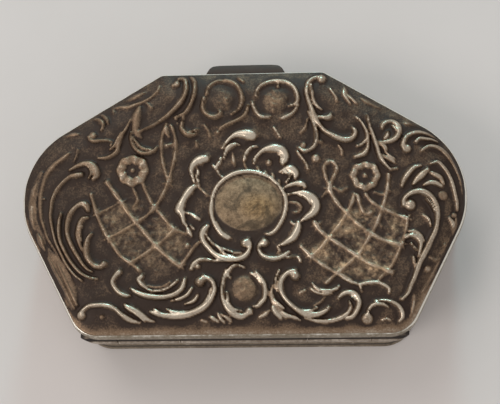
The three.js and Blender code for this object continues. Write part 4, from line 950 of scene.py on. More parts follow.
# Wires of the trellis: the width of each and the points that it runs through
trellisWires = [
    (0.45, [
        (-19, 0.9), (-18.2, -1.6), (-17.3, -3.6), (-16.2, -5.4), (-15, -7), (-13.6, -8), (-12.7, -8.8),
    ]),
    (0.55, [
        (-17, 2.4), (-16, 1), (-15.1, -0.2), (-14.2, -1.6), (-13.2, -2.8), (-12, -4.2), (-10.8, -5.6),
        (-9.2, -7.2), (-7.6, -8.4),
    ]),
    (0.38, [(-12.5, 2.3), (-12, 1), (-11, -0.8), (-9.7, -2.3), (-8.6, -3.6), (-7, -4.3)]),
    (0.3, [(-18.2, -1.6), (-16.8, -1), (-15.2, -0.1)]),
    (0.42, [(-16.6, -4.7), (-15, -3.9), (-13.2, -2.8), (-12, -2), (-10.9, -0.9), (-10, 0.6), (-9.4, 2)]),
    (0.42, [(-13.6, -7.7), (-12, -6.7), (-10.6, -5.8), (-9.9, -5.2), (-8.6, -3.9)]),
    (0.4, [(-7.5, -8.2), (-6.8, -7.2), (-6, -6), (-5.4, -5.4)]),
    (0.36, [(-9.2, 2.3), (-9.7, 3.8), (-10.1, 5.4), (-10.2, 7.2), (-10.1, 8.4), (-9.6, 10)]),
    (0.36, [(-9.2, 2.3), (-8.9, 3.8), (-8.5, 5.6), (-8.4, 7.4), (-8.7, 9), (-9.1, 9.8)]),
    (0.34, [(-9.7, 7.1), (-8.9, 7.2), (-8.5, 7.4)]),
    (0.3, [(-9.7, 9.6), (-9.4, 8.9), (-9.3, 8.1)]),
    (0.34, [(-13.7, 1.6), (-13.3, 0.8), (-13.1, 0), (-13.6, -0.8)]),
    (0.42, [
        (10.8, 1.4), (10.45, 2.5), (10.2, 3.5), (10.3, 4.15), (10.85, 4.65), (11.45, 4.5), (11.8, 3.9),
        (11.65, 3.1), (11.2, 2.35), (10.9, 1.4),
    ]),
    (0.5, [
        (10.8, 1.2), (11.2, 0.2), (12, -1), (12.9, -2), (14, -3.2), (15.5, -4.4), (17.2, -5.4),
        (19.3, -6.1),
    ]),
    (0.32, [(10.8, 1.1), (10.2, 0.5), (9.9, 0.1)]),
    (0.52, [
        (8.9, -3.1), (9.6, -4.2), (10.6, -5), (12.2, -6.1), (13.8, -7.2), (15.4, -8.3), (17.2, -9),
        (18.2, -9.5),
    ]),
    (0.46, [(7.2, -6.1), (8.4, -7.3), (9.8, -8.4), (11.6, -9.5), (13.2, -10.3)]),
    (0.42, [(15.3, 0.3), (16.1, -0.7), (17.4, -1.5), (19, -2.3), (20.3, -2.8)]),
    (0.46, [(13.9, 0.4), (13.5, -0.8), (12.9, -2), (12, -3.4), (10.8, -4.8), (9.6, -6.3), (8.5, -7.3)]),
    (0.42, [
        (18.2, 2.8), (18, 1.2), (17.6, -0.4), (17.2, -1.6), (16.5, -3.4), (15.6, -5), (14.6, -6.6),
        (13.9, -7.4), (12.8, -8.4), (11.6, -9.4), (10.2, -10.6),
    ]),
    (0.36, [
        (20.3, -2.8), (20, -4.4), (19.6, -5.5), (19.2, -6.6), (18.3, -8.4), (17.4, -9.4), (16.4, -10.4),
    ]),
    (0.4, [(14.3, 0.2), (14.6, -1.2), (15.2, -2.2), (16, -1.9)]),
    (0.3, [(16.4, 0.6), (17.4, 0.3), (18.3, 0.7)]),
    (0.3, [(11.4, 1.3), (12.2, 0.8), (13, 1.2)]),
]

# The two panels of trellis, whose cells are grained, and how many grains each has
trellisCells = [
    (150, [
        (-18, -1.5), (-15.1, -0.2), (-11.1, -0.9), (-7.2, -4.4), (-7.6, -8.2), (-12.9, -8.6),
        (-16.4, -5.2),
    ]),
    (240, [
        (12.6, -1.8), (15.2, -1.4), (17.8, -0.9), (20.2, -2.9), (18.9, -7.4), (16.6, -10.2), (12.6, -9.9),
        (8, -6.8), (10.4, -5),
    ]),
]

# Knots where the wires cross: the middle of each
crossings = [
    (-18.2, -1.6), (-15.1, -0.2), (-13.2, -2.8), (-11, -0.8), (-16.6, -4.8), (-10.8, -5.7), (-13.6, -7.8),
    (-8.6, -3.7), (-7.5, -8.3), (-9.3, 2.2), (10.8, 1.1), (12.9, -2), (9.2, -3.5), (17.2, -1.5), (10.9, -5),
    (15.3, -4.4), (14.2, -7.4), (8.4, -7.3), (11.6, -9.4), (19.6, -5.9), (17.9, -9.3), (20.3, -2.8),
]

# Grained pearls in the three roundels: the middle, the radius, the height and how many grains
pearls = [(-2.4, 12.9, 1.35, 0.14, 30), (4.3, 12.7, 1.65, 0.2, 80), (0.2, -11.2, 1.6, 0.28, 60)]

# Each group of ridges, and how bright its crests are rubbed. A later group counts where it stands higher.
ridgeGroups = [
    (centreRidges, 1.0), (backRidges, 0.82), (leftRidges, 0.52), (frontLeftRidges, 0.43),
    (frontRightRidges, 0.7), (rightRidges, 0.68),
]

# How bright everything else is rubbed
crestShine = {"left": 0.52, "right": 0.62, "flower": 0.6, "pearl": 0.35}

# Knots where the wires cross are low stars. Their reach swings with the angle by twice the dent's share.
knot = {"height": 0.5, "reach": 0.95, "rays": 5, "dent": 0.4}

# A flower is a ring of petals with a dish and an eye in it. The width is half the ring's.
flowers = {
    "places": [(-13.8, 3.9, 0.64), (15.3, 2.7, 0.46)],
    "radius": 1.52,
    "height": 0.42,
    "petals": 8,
    "dishHeight": 0.1,
    "eye": 0.42,
    "eyeHeight": 0.36,
}

# Bounds of a grain's radius and height in the trellis and on a pearl, whose grains scatter about its middle
cellGrain = {"radius": (0.16, 0.42), "height": (0.05, 0.17)}
pearlGrain = {"radius": (0.12, 0.24), "height": (-0.1, 0.14), "scatter": 0.4, "mask": 0.42}

leastRise = 0.02  # what counts as raised
leastWidth = 0.32  # a narrower ridge or wire would fall between the sheet's points

lid = {
    "columns": 362,
    "faceRows": 214,
    "underRows": 40,
    "edgeInset": 0.42,
    "seatInset": 1.02,
    "seatZ": 11.8,
    "edgeStep": 0.16,
    "borderWidth": 3.6,
    "borderRise": 1.15,
    "sheet": 0.5,
    "bossAt": (0.78, -0.45),
    "bossSize": (4.35, 3.65),
    "bossRise": 0.72,
    "bossFade": 0.94,  # share of its size where its finish starts to fade
    "ochreAt": (2.0, -1.1),
    "ochreSize": (3.1, 2.2),
    "drawnAt": 12.9,  # height of the plane that the ornament is drawn on
    "meanRelief": 0.35,
    "sharpen": 0.22,
    "soften": 0.25,
    "edgeFade": 0.9,
    "wave": 0.03,
    "hollowed": 0.55,  # share of the relief that is pressed out from below
    "seed": 7,
}

# What marks the lid's finish, in millimetres but for the shares: where crests, the tarnish and painted shade
# in the hollows, the border's rubbed edge and the painted shade towards the left end begin and end
lidTone = {
    "crest": (0.05, 0.36),
    "crestShare": 0.65,
    "detail": (0.03, 0.25),
    "detailShare": 0.4,
    "shadeAndTarnish": (-0.3, -0.04),
    "borderInset": (0.5, 1.6),
    "borderY": (-8, 2),
    "borderShare": 0.5,
    "leftShadeX": (-20, -6),
    "leftShadeShare": 0.08,
    "leftGrain": 0.45,
}


def smoothPath(points, steps=7):
    # Catmull-Rom curve through the points: the usual cubic of four neighbouring points.
    p = np.array(points, float)
    p = np.vstack([2 * p[0] - p[1], p, 2 * p[-1] - p[-2]])
    a, b, c, d = p[:-3], p[1:-2], p[2:-1], p[3:]
    t = np.linspace(0, 1, steps, endpoint=False)[:, None, None]
    curve = b + 0.5 * t * (c - a + t * (2 * a - 5 * b + 4 * c - d + t * (3 * b - 3 * c + d - a)))
    return np.vstack([curve.transpose(1, 0, 2).reshape(-1, p.shape[1]), p[-2:-1]])


def bendOf(path):
    # How much a path turns at each of its steps, to the left positive, evened out and kept within one.
    step = np.diff(path, axis=0)
    angle = np.unwrap(np.arctan2(step[:, 1], step[:, 0]))
    bend = np.gradient(angle) / np.hypot(step[:, 0], step[:, 1])
    return np.tanh(2.5 * np.convolve(np.pad(bend, 4, mode="edge"), np.ones(9) / 9, "valid"))


def raiseRidge(relief, x, y, path, width, height, mound=0.32):
    # Adds a ridge over a path, whose width and height are given at each of its points. Across, it is a full
    # round, flatter than an ellipse, on a mound that leans to the inside of a bend. Where ridges meet, the
    # higher one counts.
    reach = 1.1 * width.max()
    near = np.flatnonzero(
        (x > path[:, 0].min() - reach) & (x < path[:, 0].max() + reach)
        & (y > path[:, 1].min() - reach) & (y < path[:, 1].max() + reach)
    )
    if not len(near):
        return
    away, share, step, side = nearestOnPath(x[near], y[near], path)
    steps = np.diff(path, axis=0)
    along = np.concatenate([[0], np.cumsum(np.hypot(steps[:, 0], steps[:, 1]))])
    half = np.interp(share * along[-1], along, width) / 2
    tall = np.interp(share * along[-1], along, height)
    across = away * side
    bend = bendOf(path)[step]
    crest = (1 - np.clip(abs(across + 0.06 * bend * half) / half, 0, 1) ** 2.6) ** 0.55
    flank = np.clip(abs(across - 0.55 * bend * half) / (1.9 * half), 0, 1)
    shape = (1 - mound) * crest + mound * (1 - flank ** 2) ** 1.3
    relief[near] = np.maximum(relief[near], tall * shape)


def raiseDrawn(relief, x, y, height, points):
    # Adds a ridge from one of the lists. It is lower where it is narrow.
    path = smoothPath(points)
    share = np.maximum(path[:, 2], 0.06) / path[:, 2].max()
    width = np.maximum(path[:, 2] * 1.2, leastWidth)
    raiseRidge(relief, x, y, path[:, :2], width, 1.15 * height * (0.3 + 0.7 * share ** 0.6))


def raiseKnob(relief, x, y, cx, cy, radius, height):
    # Adds a round knob, a half ellipse in section.
    near = np.flatnonzero((abs(x - cx) < radius) & (abs(y - cy) < radius))
    share = np.hypot(x[near] - cx, y[near] - cy) / radius
    raised = height * np.sqrt(np.clip(1 - share ** 2, 0, 1))
    relief[near] = np.maximum(relief[near], raised)


def polar(x, y, cx, cy):
    return np.hypot(x - cx, y - cy), np.arctan2(y - cy, x - cx)


def raiseTrellis(relief, x, y):
    # Wires of uneven width, higher where they are wide, and the knots at their crossings.
    for width, points in trellisWires:
        path = smoothPath(points)
        uneven = 1 + 0.12 * np.sin(0.7 * np.arange(len(path)) + 50 * width)
        wide = np.maximum(1.15 * width * uneven, leastWidth)
        raiseRidge(relief, x, y, path, wide, (0.08 + 0.54 * width) * uneven)
    for cx, cy in crossings:
        away, angle = polar(x, y, cx, cy)
        rays = 1 - knot["dent"] + knot["dent"] * np.cos(knot["rays"] * angle + cx)
        star = knot["height"] * np.clip(1 - away / (knot["reach"] * rays), 0, 1)
        relief[:] = np.maximum(relief, star)


def raiseFlowers(relief, worn, x, y):
    # The radius of the petals' crest swells and shrinks with the angle, and so does their height.
    f = flowers
    for cx, cy, width in f["places"]:
        away, angle = polar(x, y, cx, cy)
        crest = f["radius"] * (0.95 + 0.05 * np.cos(f["petals"] * angle) + 0.03 * np.sin(3 * angle))
        ring = f["height"] * np.clip(1 - (abs(away - crest) / width) ** 4, 0, 1) ** 0.5
        ring = ring * (0.86 + 0.14 * np.cos(f["petals"] * angle + 2))
        dish = f["dishHeight"] * np.clip(1 - (away / crest) ** 4, 0, 1)
        eye = f["eyeHeight"] * np.clip(1 - (away / f["eye"]) ** 2, 0, 1)
        flower = np.maximum(ring, np.maximum(dish, eye))
        worn[flower > relief] = crestShine["flower"]
        relief[:] = np.maximum(relief, flower)


def insideOf(x, y, polygon):
    # Whether each point is inside a polygon: the number of its sides that a ray to the right crosses is odd.
    x1, y1 = np.array(polygon, float).T
    x2, y2 = np.roll(x1, -1), np.roll(y1, -1)
    spans = (y1 > y[:, None]) != (y2 > y[:, None])
    crossing = x1 + (y[:, None] - y1) * (x2 - x1) / (y2 - y1)
    return (spans & (x[:, None] < crossing)).sum(1) % 2 == 1


def raiseGrains(relief, grained, x, y, chance):
    # Small grains at random in the trellis. Twice as many spots are drawn, and the first ones inside count.
    for count, polygon in trellisCells:
        grained[:] = np.maximum(grained, insideOf(x, y, polygon))
        low, high = np.min(polygon, 0), np.max(polygon, 0)
        spots = chance.uniform(low, high, (count * 2, 2))
        spots = spots[insideOf(spots[:, 0], spots[:, 1], polygon)][:count]
        for cx, cy in spots:
            radius = chance.uniform(*cellGrain["radius"])
            raiseKnob(relief, x, y, cx, cy, radius, chance.uniform(*cellGrain["height"]))


def raisePearls(relief, worn, grained, x, y, chance):
    # Domes with grains added on them.
    for cx, cy, radius, height, count in pearls:
        dome = np.zeros(len(x))
        raiseKnob(dome, x, y, cx, cy, radius, height)
        for dx, dy in chance.normal(0, radius * pearlGrain["scatter"], (count, 2)):
            grain = np.zeros(len(x))
            wide = chance.uniform(*pearlGrain["radius"])
            raiseKnob(grain, x, y, cx + dx, cy + dy, wide, chance.uniform(*pearlGrain["height"]))
            dome = dome + grain * (dome > 0)
        worn[dome > relief] = crestShine["pearl"]
        relief[:] = np.maximum(relief, dome)
        grained[:] = np.maximum(grained, pearlGrain["mask"] * (dome > leastRise))


def ornament(x, y):
    # At each point of the drawn plane: the ornament's height over the sheet, the masks of the boss and of
    # the grained cells, and how bright it is rubbed.
    chance = np.random.default_rng(lid["seed"])
    relief = np.zeros(len(x))
    grained = np.zeros(len(x))
    worn = np.where(x > 0, crestShine["right"], crestShine["left"])
    raiseTrellis(relief, x, y)
    for ridges, bright in ridgeGroups:
        lower = relief.copy()
        for height, points in ridges:
            raiseDrawn(relief, x, y, height, points)
        worn[relief > lower + leastRise] = bright
    for cx, cy, radius, height in knobs:
        raiseKnob(relief, x, y, cx, cy, radius, height)
    raiseFlowers(relief, worn, x, y)
    raiseGrains(relief, grained, x, y, chance)
    raisePearls(relief, worn, grained, x, y, chance)

    (bx, by), (halfWidth, halfDepth) = lid["bossAt"], lid["bossSize"]
    share = np.hypot((x - bx) / halfWidth, (y - by) / halfDepth)
    boss = share < 1
    relief[boss] = lid["bossRise"] * (1 - share[boss] ** 2)
    return relief, fadeOut(share, lid["bossFade"], 1), grained, worn


def spread(values, reach):
    # Box mean of a grid over so many rows and columns to each side, as sums of running totals.
    for axis in (0, 1):
        pad = [(0, 0), (0, 0)]
        pad[axis] = (reach + 1, reach)
        total = np.cumsum(np.pad(values, pad, mode="edge"), axis)
        last = np.take(total, np.arange(2 * reach + 1, total.shape[axis]), axis)
        first = np.take(total, np.arange(0, total.shape[axis] - 2 * reach - 1), axis)
        values = (last - first) / (2 * reach + 1)
    return values


def panelHeight(inset):
    # A rounded border, a quarter of a sine, up to a flat field.
    share = np.clip((inset - lid["edgeInset"]) / lid["borderWidth"], 0, 1)
    return lid["seatZ"] + lid["edgeStep"] + lid["borderRise"] * np.sin(np.pi / 2 * share)


def lidPlan():
    # Places in x of the panel's columns, which crowd towards the two tips, and its outline's back and front
    # halves from the left tip to the right.
    outline = edgePoint + lid["edgeInset"] * edgeNormal
    left, right = outline[:, 0].argmin(), outline[:, 0].argmax()
    loop = np.roll(outline, -left, 0)
    turn = (right - left) % len(outline)
    back, front = loop[:turn + 1], np.vstack([loop[turn:], loop[:1]])[::-1]
    even = np.linspace(-1, 1, lid["columns"])
    column = 0.72 * even + 0.28 * np.sin(np.pi / 2 * even)
    x = (back[0, 0] + back[-1, 0]) / 2 + (back[-1, 0] - back[0, 0]) / 2 * column
    return x[1:-1], back, front


def lidGrid(x, back, front, count):
    # Rows from back to front in each column, a little closer at both ends: x, y and the share of the way.
    even = np.linspace(0, 1, count)
    share = 0.9 * even + 0.1 * (1 - np.cos(np.pi * even)) / 2
    low = np.interp(x, back[:, 0], back[:, 1])
    high = np.interp(x, front[:, 0], front[:, 1])
    return np.repeat(x[:, None], count, 1), low[:, None] + (high - low)[:, None] * share, share


def seenPlan(x, y, base):
    # The ornament was drawn on a level plane as the camera sees it, so each point is carried along its line
    # of sight to that plane before it is looked up.
    cx, cy, cz = camera["place"]
    carry = (cz - lid["drawnAt"]) / (cz - base - lid["meanRelief"])
    return cx + (x - cx) * carry, cy + (y - cy) * carry


def pressedRelief(relief, x, y, inset, boss):
    # The relief as the sheet takes it: sharper than drawn, then softened, faded out at the edge and uneven.
    relief = relief + lid["sharpen"] * (relief - spread(relief, 3))
    relief = (1 - lid["soften"]) * relief + lid["soften"] * spread(relief, 1)
    relief = relief * smoothStep(inset, lid["edgeInset"], lid["edgeInset"] + lid["edgeFade"])
    wavy = np.sin(x * 1.7 + 2 * np.sin(y * 0.9)) * np.sin(y * 1.9)
    return relief + lid["wave"] * wavy * (boss < 0.5)


def closedSheet(sections, tips):
    # Points and faces of a row of closed sections, with a fan at each end to the point of its tip.
    count, section = sections.shape[:2]
    ring = np.arange(section)
    after = (ring + 1) % section
    total = count * section
    last = total - section
    faces = gridFaces(count, section, closeColumns=True)[:, ::-1]
    firstFan = np.stack([np.full(section, total), after, ring], 1)
    lastFan = np.stack([np.full(section, total + 1), last + ring, last + after], 1)
    points = np.vstack([sections.reshape(-1, 3), tips])
    return points, [*faces.tolist(), *firstFan.tolist(), *lastFan.tolist()]


def addLidPanel():
    # One sheet. Each column is a closed section of it at one x: the face from back to front, then the
    # underside from front to back. At the two tips they close on one point.
    x, back, front = lidPlan()
    faceX, faceY, _ = lidGrid(x, back, front, lid["faceRows"])
    inset = np.maximum(insetAt(faceX, faceY), lid["edgeInset"])
    base = panelHeight(inset)
    seenX, seenY = seenPlan(faceX, faceY, base)
    drawn, boss, grained, worn = (v.reshape(faceX.shape) for v in ornament(seenX.ravel(), seenY.ravel()))
    relief = pressedRelief(drawn, faceX, faceY, inset, boss)
    detail = relief - spread(drawn, 7)

    underX, underY, share = (v[..., ::-1] for v in lidGrid(x, back, front, lid["underRows"]))
    underInset = insetAt(underX, underY)
    above = np.clip((share * lid["faceRows"]).astype(int), 0, lid["faceRows"] - 1)
    pressed = np.maximum(spread(relief, 3)[:, above], 0)
    hollowed = panelHeight(underInset) - lid["sheet"] + lid["hollowed"] * pressed
    underZ = np.where(underInset < lid["seatInset"], lid["seatZ"], hollowed)

    sections = np.stack([
        np.hstack([faceX, underX]), np.hstack([faceY, underY]), np.hstack([base + relief, underZ]),
    ], -1)
    tips = [(*end, lid["seatZ"] + lid["edgeStep"] / 2) for end in (back[0], back[-1])]
    points, faces = closedSheet(sections, tips)

    def overAll(face, under=0):
        # A value on the face, then one for the whole underside, and none at the tips.
        return np.append(np.pad(face, ((0, 0), (0, lid["underRows"])), constant_values=under), (0, 0))

    t = lidTone
    crest = t["crestShare"] * smoothStep(relief, *t["crest"])
    crest = crest + t["detailShare"] * smoothStep(detail, *t["detail"])
    border = t["borderShare"] * fadeOut(inset, *t["borderInset"]) * fadeOut(faceY, *t["borderY"])
    # Painted shade: the lid grows darker towards its left end
    leftShade = t["leftShadeShare"] * fadeOut(faceX, *t["leftShadeX"])
    (ox, oy), (halfWidth, halfDepth) = lid["ochreAt"], lid["ochreSize"]
    values = {
        "rise": overAll(np.clip(np.maximum(crest * spread(worn, 1), border), 0, 1)),
        # Tarnish and painted shade in the hollows beside the ridges, where the relief falls below its
        # spread, and painted shade towards the left end
        "shadeAndTarnish": overAll(np.clip(fadeOut(detail, *t["shadeAndTarnish"]) + leftShade, 0, 1)),
        "boss": overAll(boss),
        "ochre": overAll(fadeOut(np.hypot((seenX - ox) / halfWidth, (seenY - oy) / halfDepth), 0.2, 1)),
        "grain": overAll(spread(grained, 2) * np.where(faceX > 0, 1, t["leftGrain"])),
        "under": overAll(np.zeros(faceX.shape), 1),
    }
    addPiece("pressed_lid", points, faces, "lid", finish["relief"], "lid_panel", values, 75)


case = {
    "parting": 9.6,
    "lidGap": 0.06,
    "sheet": 0.7,
    "base": 0.7,
    "footInset": 0.35,
    "bellyZ": 6.4,
    "footZ": 1.8,
    "beadZ": 1.1,
    "beadBulge": 0.6,
    "filletBulge": 0.25,
    "bezelTop": 10.8,
    "bezelFoot": 6.4,
    "bezelSheet": 0.6,
    "bezelRound": 0.15,
    "bezelClear": 0.05,
    "bearerHalf": 17.7,
    "bearerFront": -14.5,
    "bearerUnder": 7.9,
    "rimInset": 0.6,
    "rimTop": 11.8,
    "rimLip": 10.11,
    "rimLean": 0.42,
    "rimOverBezel": 0.1,
    "edge": 0.08,
}

# Where the plain pieces are bare along their edges or darkened with painted shade, in millimetres from none
# to full or the other way, and how strongly
caseTone = {
    "wallTopZ": (8.9, 9.5),
    "wallFootZ": (1.6, 2.6),
    "wallFootShade": 0.55,
    "wallInsideInset": (0.5, 0.7),
    "wallInsideShade": 0.3,
    "beadBare": 0.4,
    "beadGrooveZ": (0, 0.2),
    "beadGrooveShade": 0.9,
    "bezelTopZ": (10.3, 10.65),
    "rimLipZ": (9.8, 10.2),
    "rimTopZ": (11.35, 11.7),
    "rimTop": 0.42,
    "rimUnder": 0.3,
    "rimBackZ": (11.3, 11.6),
    "rimBackY": (-16.9, -15.5),
    "rimBack": 0.4,
    "rimTroughZ": (0.12, 0.34),
    "troughLeast": 0.05,
    "tubeBare": 0.4,
    "tubeGrooveAt": 122,  # degrees round the tube, where it meets the rim
    "tubeGrooveTurn": (7, 18),
    "tubeGrooveShade": 1.1,
    "tubeCornerX": (18.6, 20.6),
    "tubeCornerShade": 0.9,
}


def troughDepth(x, y, owner):
    # How far above or below the hinge's axis the surface of the trough round the tubes is at y. It is close
    # to the owner's own knuckles and clear of the others. For "none" it is clear of all.
    h = hinge
    boxTubes = (abs(x) < h["seams"][0]) | (abs(x) > h["seams"][1])
    own = {"box": boxTubes, "lid": ~boxTubes, "none": False}[owner]
    radius = h["tube"] + np.where(own, h["ownGap"], h["otherGap"])
    return np.sqrt(np.clip(radius ** 2 - (y - h["y"]) ** 2, 0, None))


def bandRows(profile):
    # The inset, z and edge value of a band. Rows are the profile, and columns go round the case.
    return [np.repeat(v[:, None], len(edgePoint), 1) for v in np.array(profile, float).T]


def bandPlan(inset):
    # Place of a band's points in plan: the edge's point plus the inset times its normal.
    return [edgePoint[:, i] + inset * edgeNormal[:, i] for i in (0, 1)]


def addBand(name, inset, z, edge, shade, body, look, replaced):
    points = np.stack([*bandPlan(inset), z], -1)
    faces = gridFaces(*z.shape, True, True)
    values = {"edge": edge, "shadeAndTarnish": shade}
    addPiece(name, points, faces, body, finish[look], replaced, values, 50)


def bellyInset(z):
    # The wall stands in at its foot and swells out to the plan as half a cosine wave.
    share = np.clip((z - case["footZ"]) / (case["bellyZ"] - case["footZ"]), 0, 1)
    return case["footInset"] * (1 + np.cos(np.pi * share)) / 2


def addWall():
    # Profile from the base up the outside, over the top edge and down the inside. Near the hinge the part
    # above the belly is shortened so that its top follows the trough.
    c = case
    up = np.linspace(c["base"], c["parting"] - c["edge"], 26)
    outside = [(bellyInset(z), z, smoothStep(z, *caseTone["wallTopZ"])) for z in up]
    top = [(s, c["parting"], 1) for s in np.linspace(c["edge"], c["sheet"] - c["edge"], 7)]
    inside = [(bellyInset(z) + c["sheet"], z, 0) for z in up[::-1]]
    inset, z, edge = bandRows(outside + top + inside)
    x, y = bandPlan(inset)
    squeeze = (c["parting"] - troughDepth(x, y, "box") - c["bellyZ"]) / (c["parting"] - c["bellyZ"])
    z = np.where(z > c["bellyZ"], c["bellyZ"] + (z - c["bellyZ"]) * squeeze, z)
    # Painted shade: darker towards the wall's foot and on its inside face
    shade = caseTone["wallFootShade"] * fadeOut(z, *caseTone["wallFootZ"])
    shade = shade + caseTone["wallInsideShade"] * smoothStep(inset, *caseTone["wallInsideInset"])
    addBand("case_wall", inset, z, edge, shade, "box", "wall", "body_wall")


def addFoot():
    # A half-round bead with a smaller one over it, round the foot of the wall.
    c = case

    def bead(low, high, bulge, steps):
        middle, half = (low + high) / 2, (high - low) / 2
        turn = np.linspace(0, np.pi, steps)
        inset = c["footInset"] - bulge * np.sin(turn)
        return list(zip(inset, middle - half * np.cos(turn), np.sin(turn) ** 2))

    profile = bead(0, c["beadZ"], c["beadBulge"], 17)
    profile += bead(c["beadZ"], c["footZ"], c["filletBulge"], 11)[1:]
    profile += [(c["footInset"], z, 0) for z in np.linspace(c["footZ"], 0, 6)[1:-1]]
    inset, z, edge = bandRows(profile)
    # Painted shade in the groove where the bead meets the fillet
    shade = caseTone["beadGrooveShade"] * fadeOut(abs(z - c["beadZ"]), *caseTone["beadGrooveZ"])
    bare = caseTone["beadBare"] * edge
    addBand("foot_bead", inset, z, bare, shade, "box", "wall", "foot_moulding")


def addBezel():
    # An upright collar. Over the hinge's length it is cut down to under the bearer, and near the hinge's
    # ends it slopes down to clear the tube.
    c = case
    inner = c["sheet"] + c["bezelSheet"]
    r = c["bezelRound"]
    shoulder = c["bezelTop"] - r
    up = np.linspace(c["bezelFoot"], shoulder, 12)
    turn = np.linspace(0, np.pi / 2, 5)
    profile = [(c["sheet"], z, smoothStep(z, *caseTone["bezelTopZ"])) for z in up]
    profile += [(c["sheet"] + r - r * np.cos(a), shoulder + r * np.sin(a), 1) for a in turn[1:]]
    profile += [(inner - r + r * np.sin(a), shoulder + r * np.cos(a), 1) for a in turn]
    profile += [(inner, z, 0) for z in up[-2::-1]]
    profile += [(s, c["bezelFoot"], 0) for s in np.linspace(inner, c["sheet"], 4)[1:-1]]
    inset, z, edge = bandRows(profile)
    x, y = bandPlan(inset)
    nearTube = y < hinge["y"] + hinge["tube"] + hinge["otherGap"]
    top = np.where(nearTube, c["parting"] - troughDepth(x, y, "none") - c["bezelClear"], c["bezelTop"])
    top = np.where((abs(x) < c["bearerHalf"]) & (y < c["bearerFront"]), c["bearerUnder"], top)
    z = c["bezelFoot"] + (z - c["bezelFoot"]) * (top - c["bezelFoot"]) / (c["bezelTop"] - c["bezelFoot"])
    addBand("bezel_collar", inset, z, edge, np.zeros(z.shape), "box", "inside", "inner_bezel")


def rimInsetAt(z):
    # The rim's outer face: a plain lip, then a quarter round that leans in to the panel.
    c = case
    rise = np.clip((z - c["rimLip"]) / (c["rimTop"] - c["rimLip"]), 0, 1)
    return c["rimLean"] * (1 - np.sqrt(1 - rise ** 2))


def addRim():
    # Profile from the parting up the lip and the quarter round, over the seat of the panel and down inside.
    # Near the hinge its lower part is lifted so that it follows the trough.
    c, tone = case, caseTone
    low = c["parting"] + c["lidGap"]
    outerZ = np.concatenate([
        np.linspace(low, c["rimLip"], 5),
        c["rimLip"] + (c["rimTop"] - c["rimLip"]) * np.sin(np.linspace(0, np.pi / 2, 13)[1:]),
    ])
    bare = fadeOut(outerZ, *tone["rimLipZ"]) + tone["rimTop"] * smoothStep(outerZ, *tone["rimTopZ"])
    outer = list(zip(rimInsetAt(outerZ), outerZ, bare))
    seat = [(s, c["rimTop"], 0) for s in np.linspace(c["rimLean"], lid["seatInset"], 5)[1:]]
    inner = [(c["rimInset"], z, 0) for z in np.linspace(c["bezelTop"] + c["rimOverBezel"], low, 8)]
    under = [(s, low, tone["rimUnder"]) for s in np.linspace(c["rimInset"], 0, 7)[1:-1]]
    inset, z, edge = bandRows(outer + seat + inner + under)
    x, y = bandPlan(inset)
    depth = troughDepth(x, y, "lid")
    bottom = np.maximum(c["parting"] + depth, low)
    z = c["rimTop"] - (c["rimTop"] - z) * (c["rimTop"] - bottom) / (c["rimTop"] - low)
    inset[:len(outer)] = rimInsetAt(z[:len(outer)])
    # Painted shade along the rim's lower edge over the hinge's trough, where the bare edge is taken out too
    shade = fadeOut(z - bottom, *tone["rimTroughZ"]) * (depth > tone["troughLeast"])
    edge = edge + tone["rimBack"] * smoothStep(z, *tone["rimBackZ"]) * smoothStep(y, *tone["rimBackY"])
    addBand("lid_edge", inset, z, edge * (1 - shade), shade, "lid", "rim", "lid_rim")


def knuckleSection(left, right):
    # Places along the axis, radii and edge values round a tube's closed section, wall and bore.
    h = hinge
    e = h["edge"]
    arc = np.linspace(0, np.pi / 2, 5)
    straight = np.linspace(left + e, right - e, 24)[1:-1]
    bore = np.linspace(right, left, 8)[1:-1]
    along = np.concatenate([
        left + e - e * np.sin(arc[::-1]), straight, right - e + e * np.sin(arc),
        np.full(3, right), bore, np.full(3, left),
    ])
    radius = np.concatenate([
        h["tube"] - e + e * np.cos(arc[::-1]), np.full(len(straight), h["tube"]),
        h["tube"] - e + e * np.cos(arc), np.linspace(h["tube"] - e, h["bore"], 4)[1:],
        np.full(len(bore), h["bore"]), np.linspace(h["bore"], h["tube"] - e, 4)[:-1],
    ])
    rounded = np.full(len(arc), caseTone["tubeBare"])
    edge = np.concatenate([rounded, np.zeros(len(straight)), rounded, np.zeros(len(bore) + 6)])
    return along, radius, edge


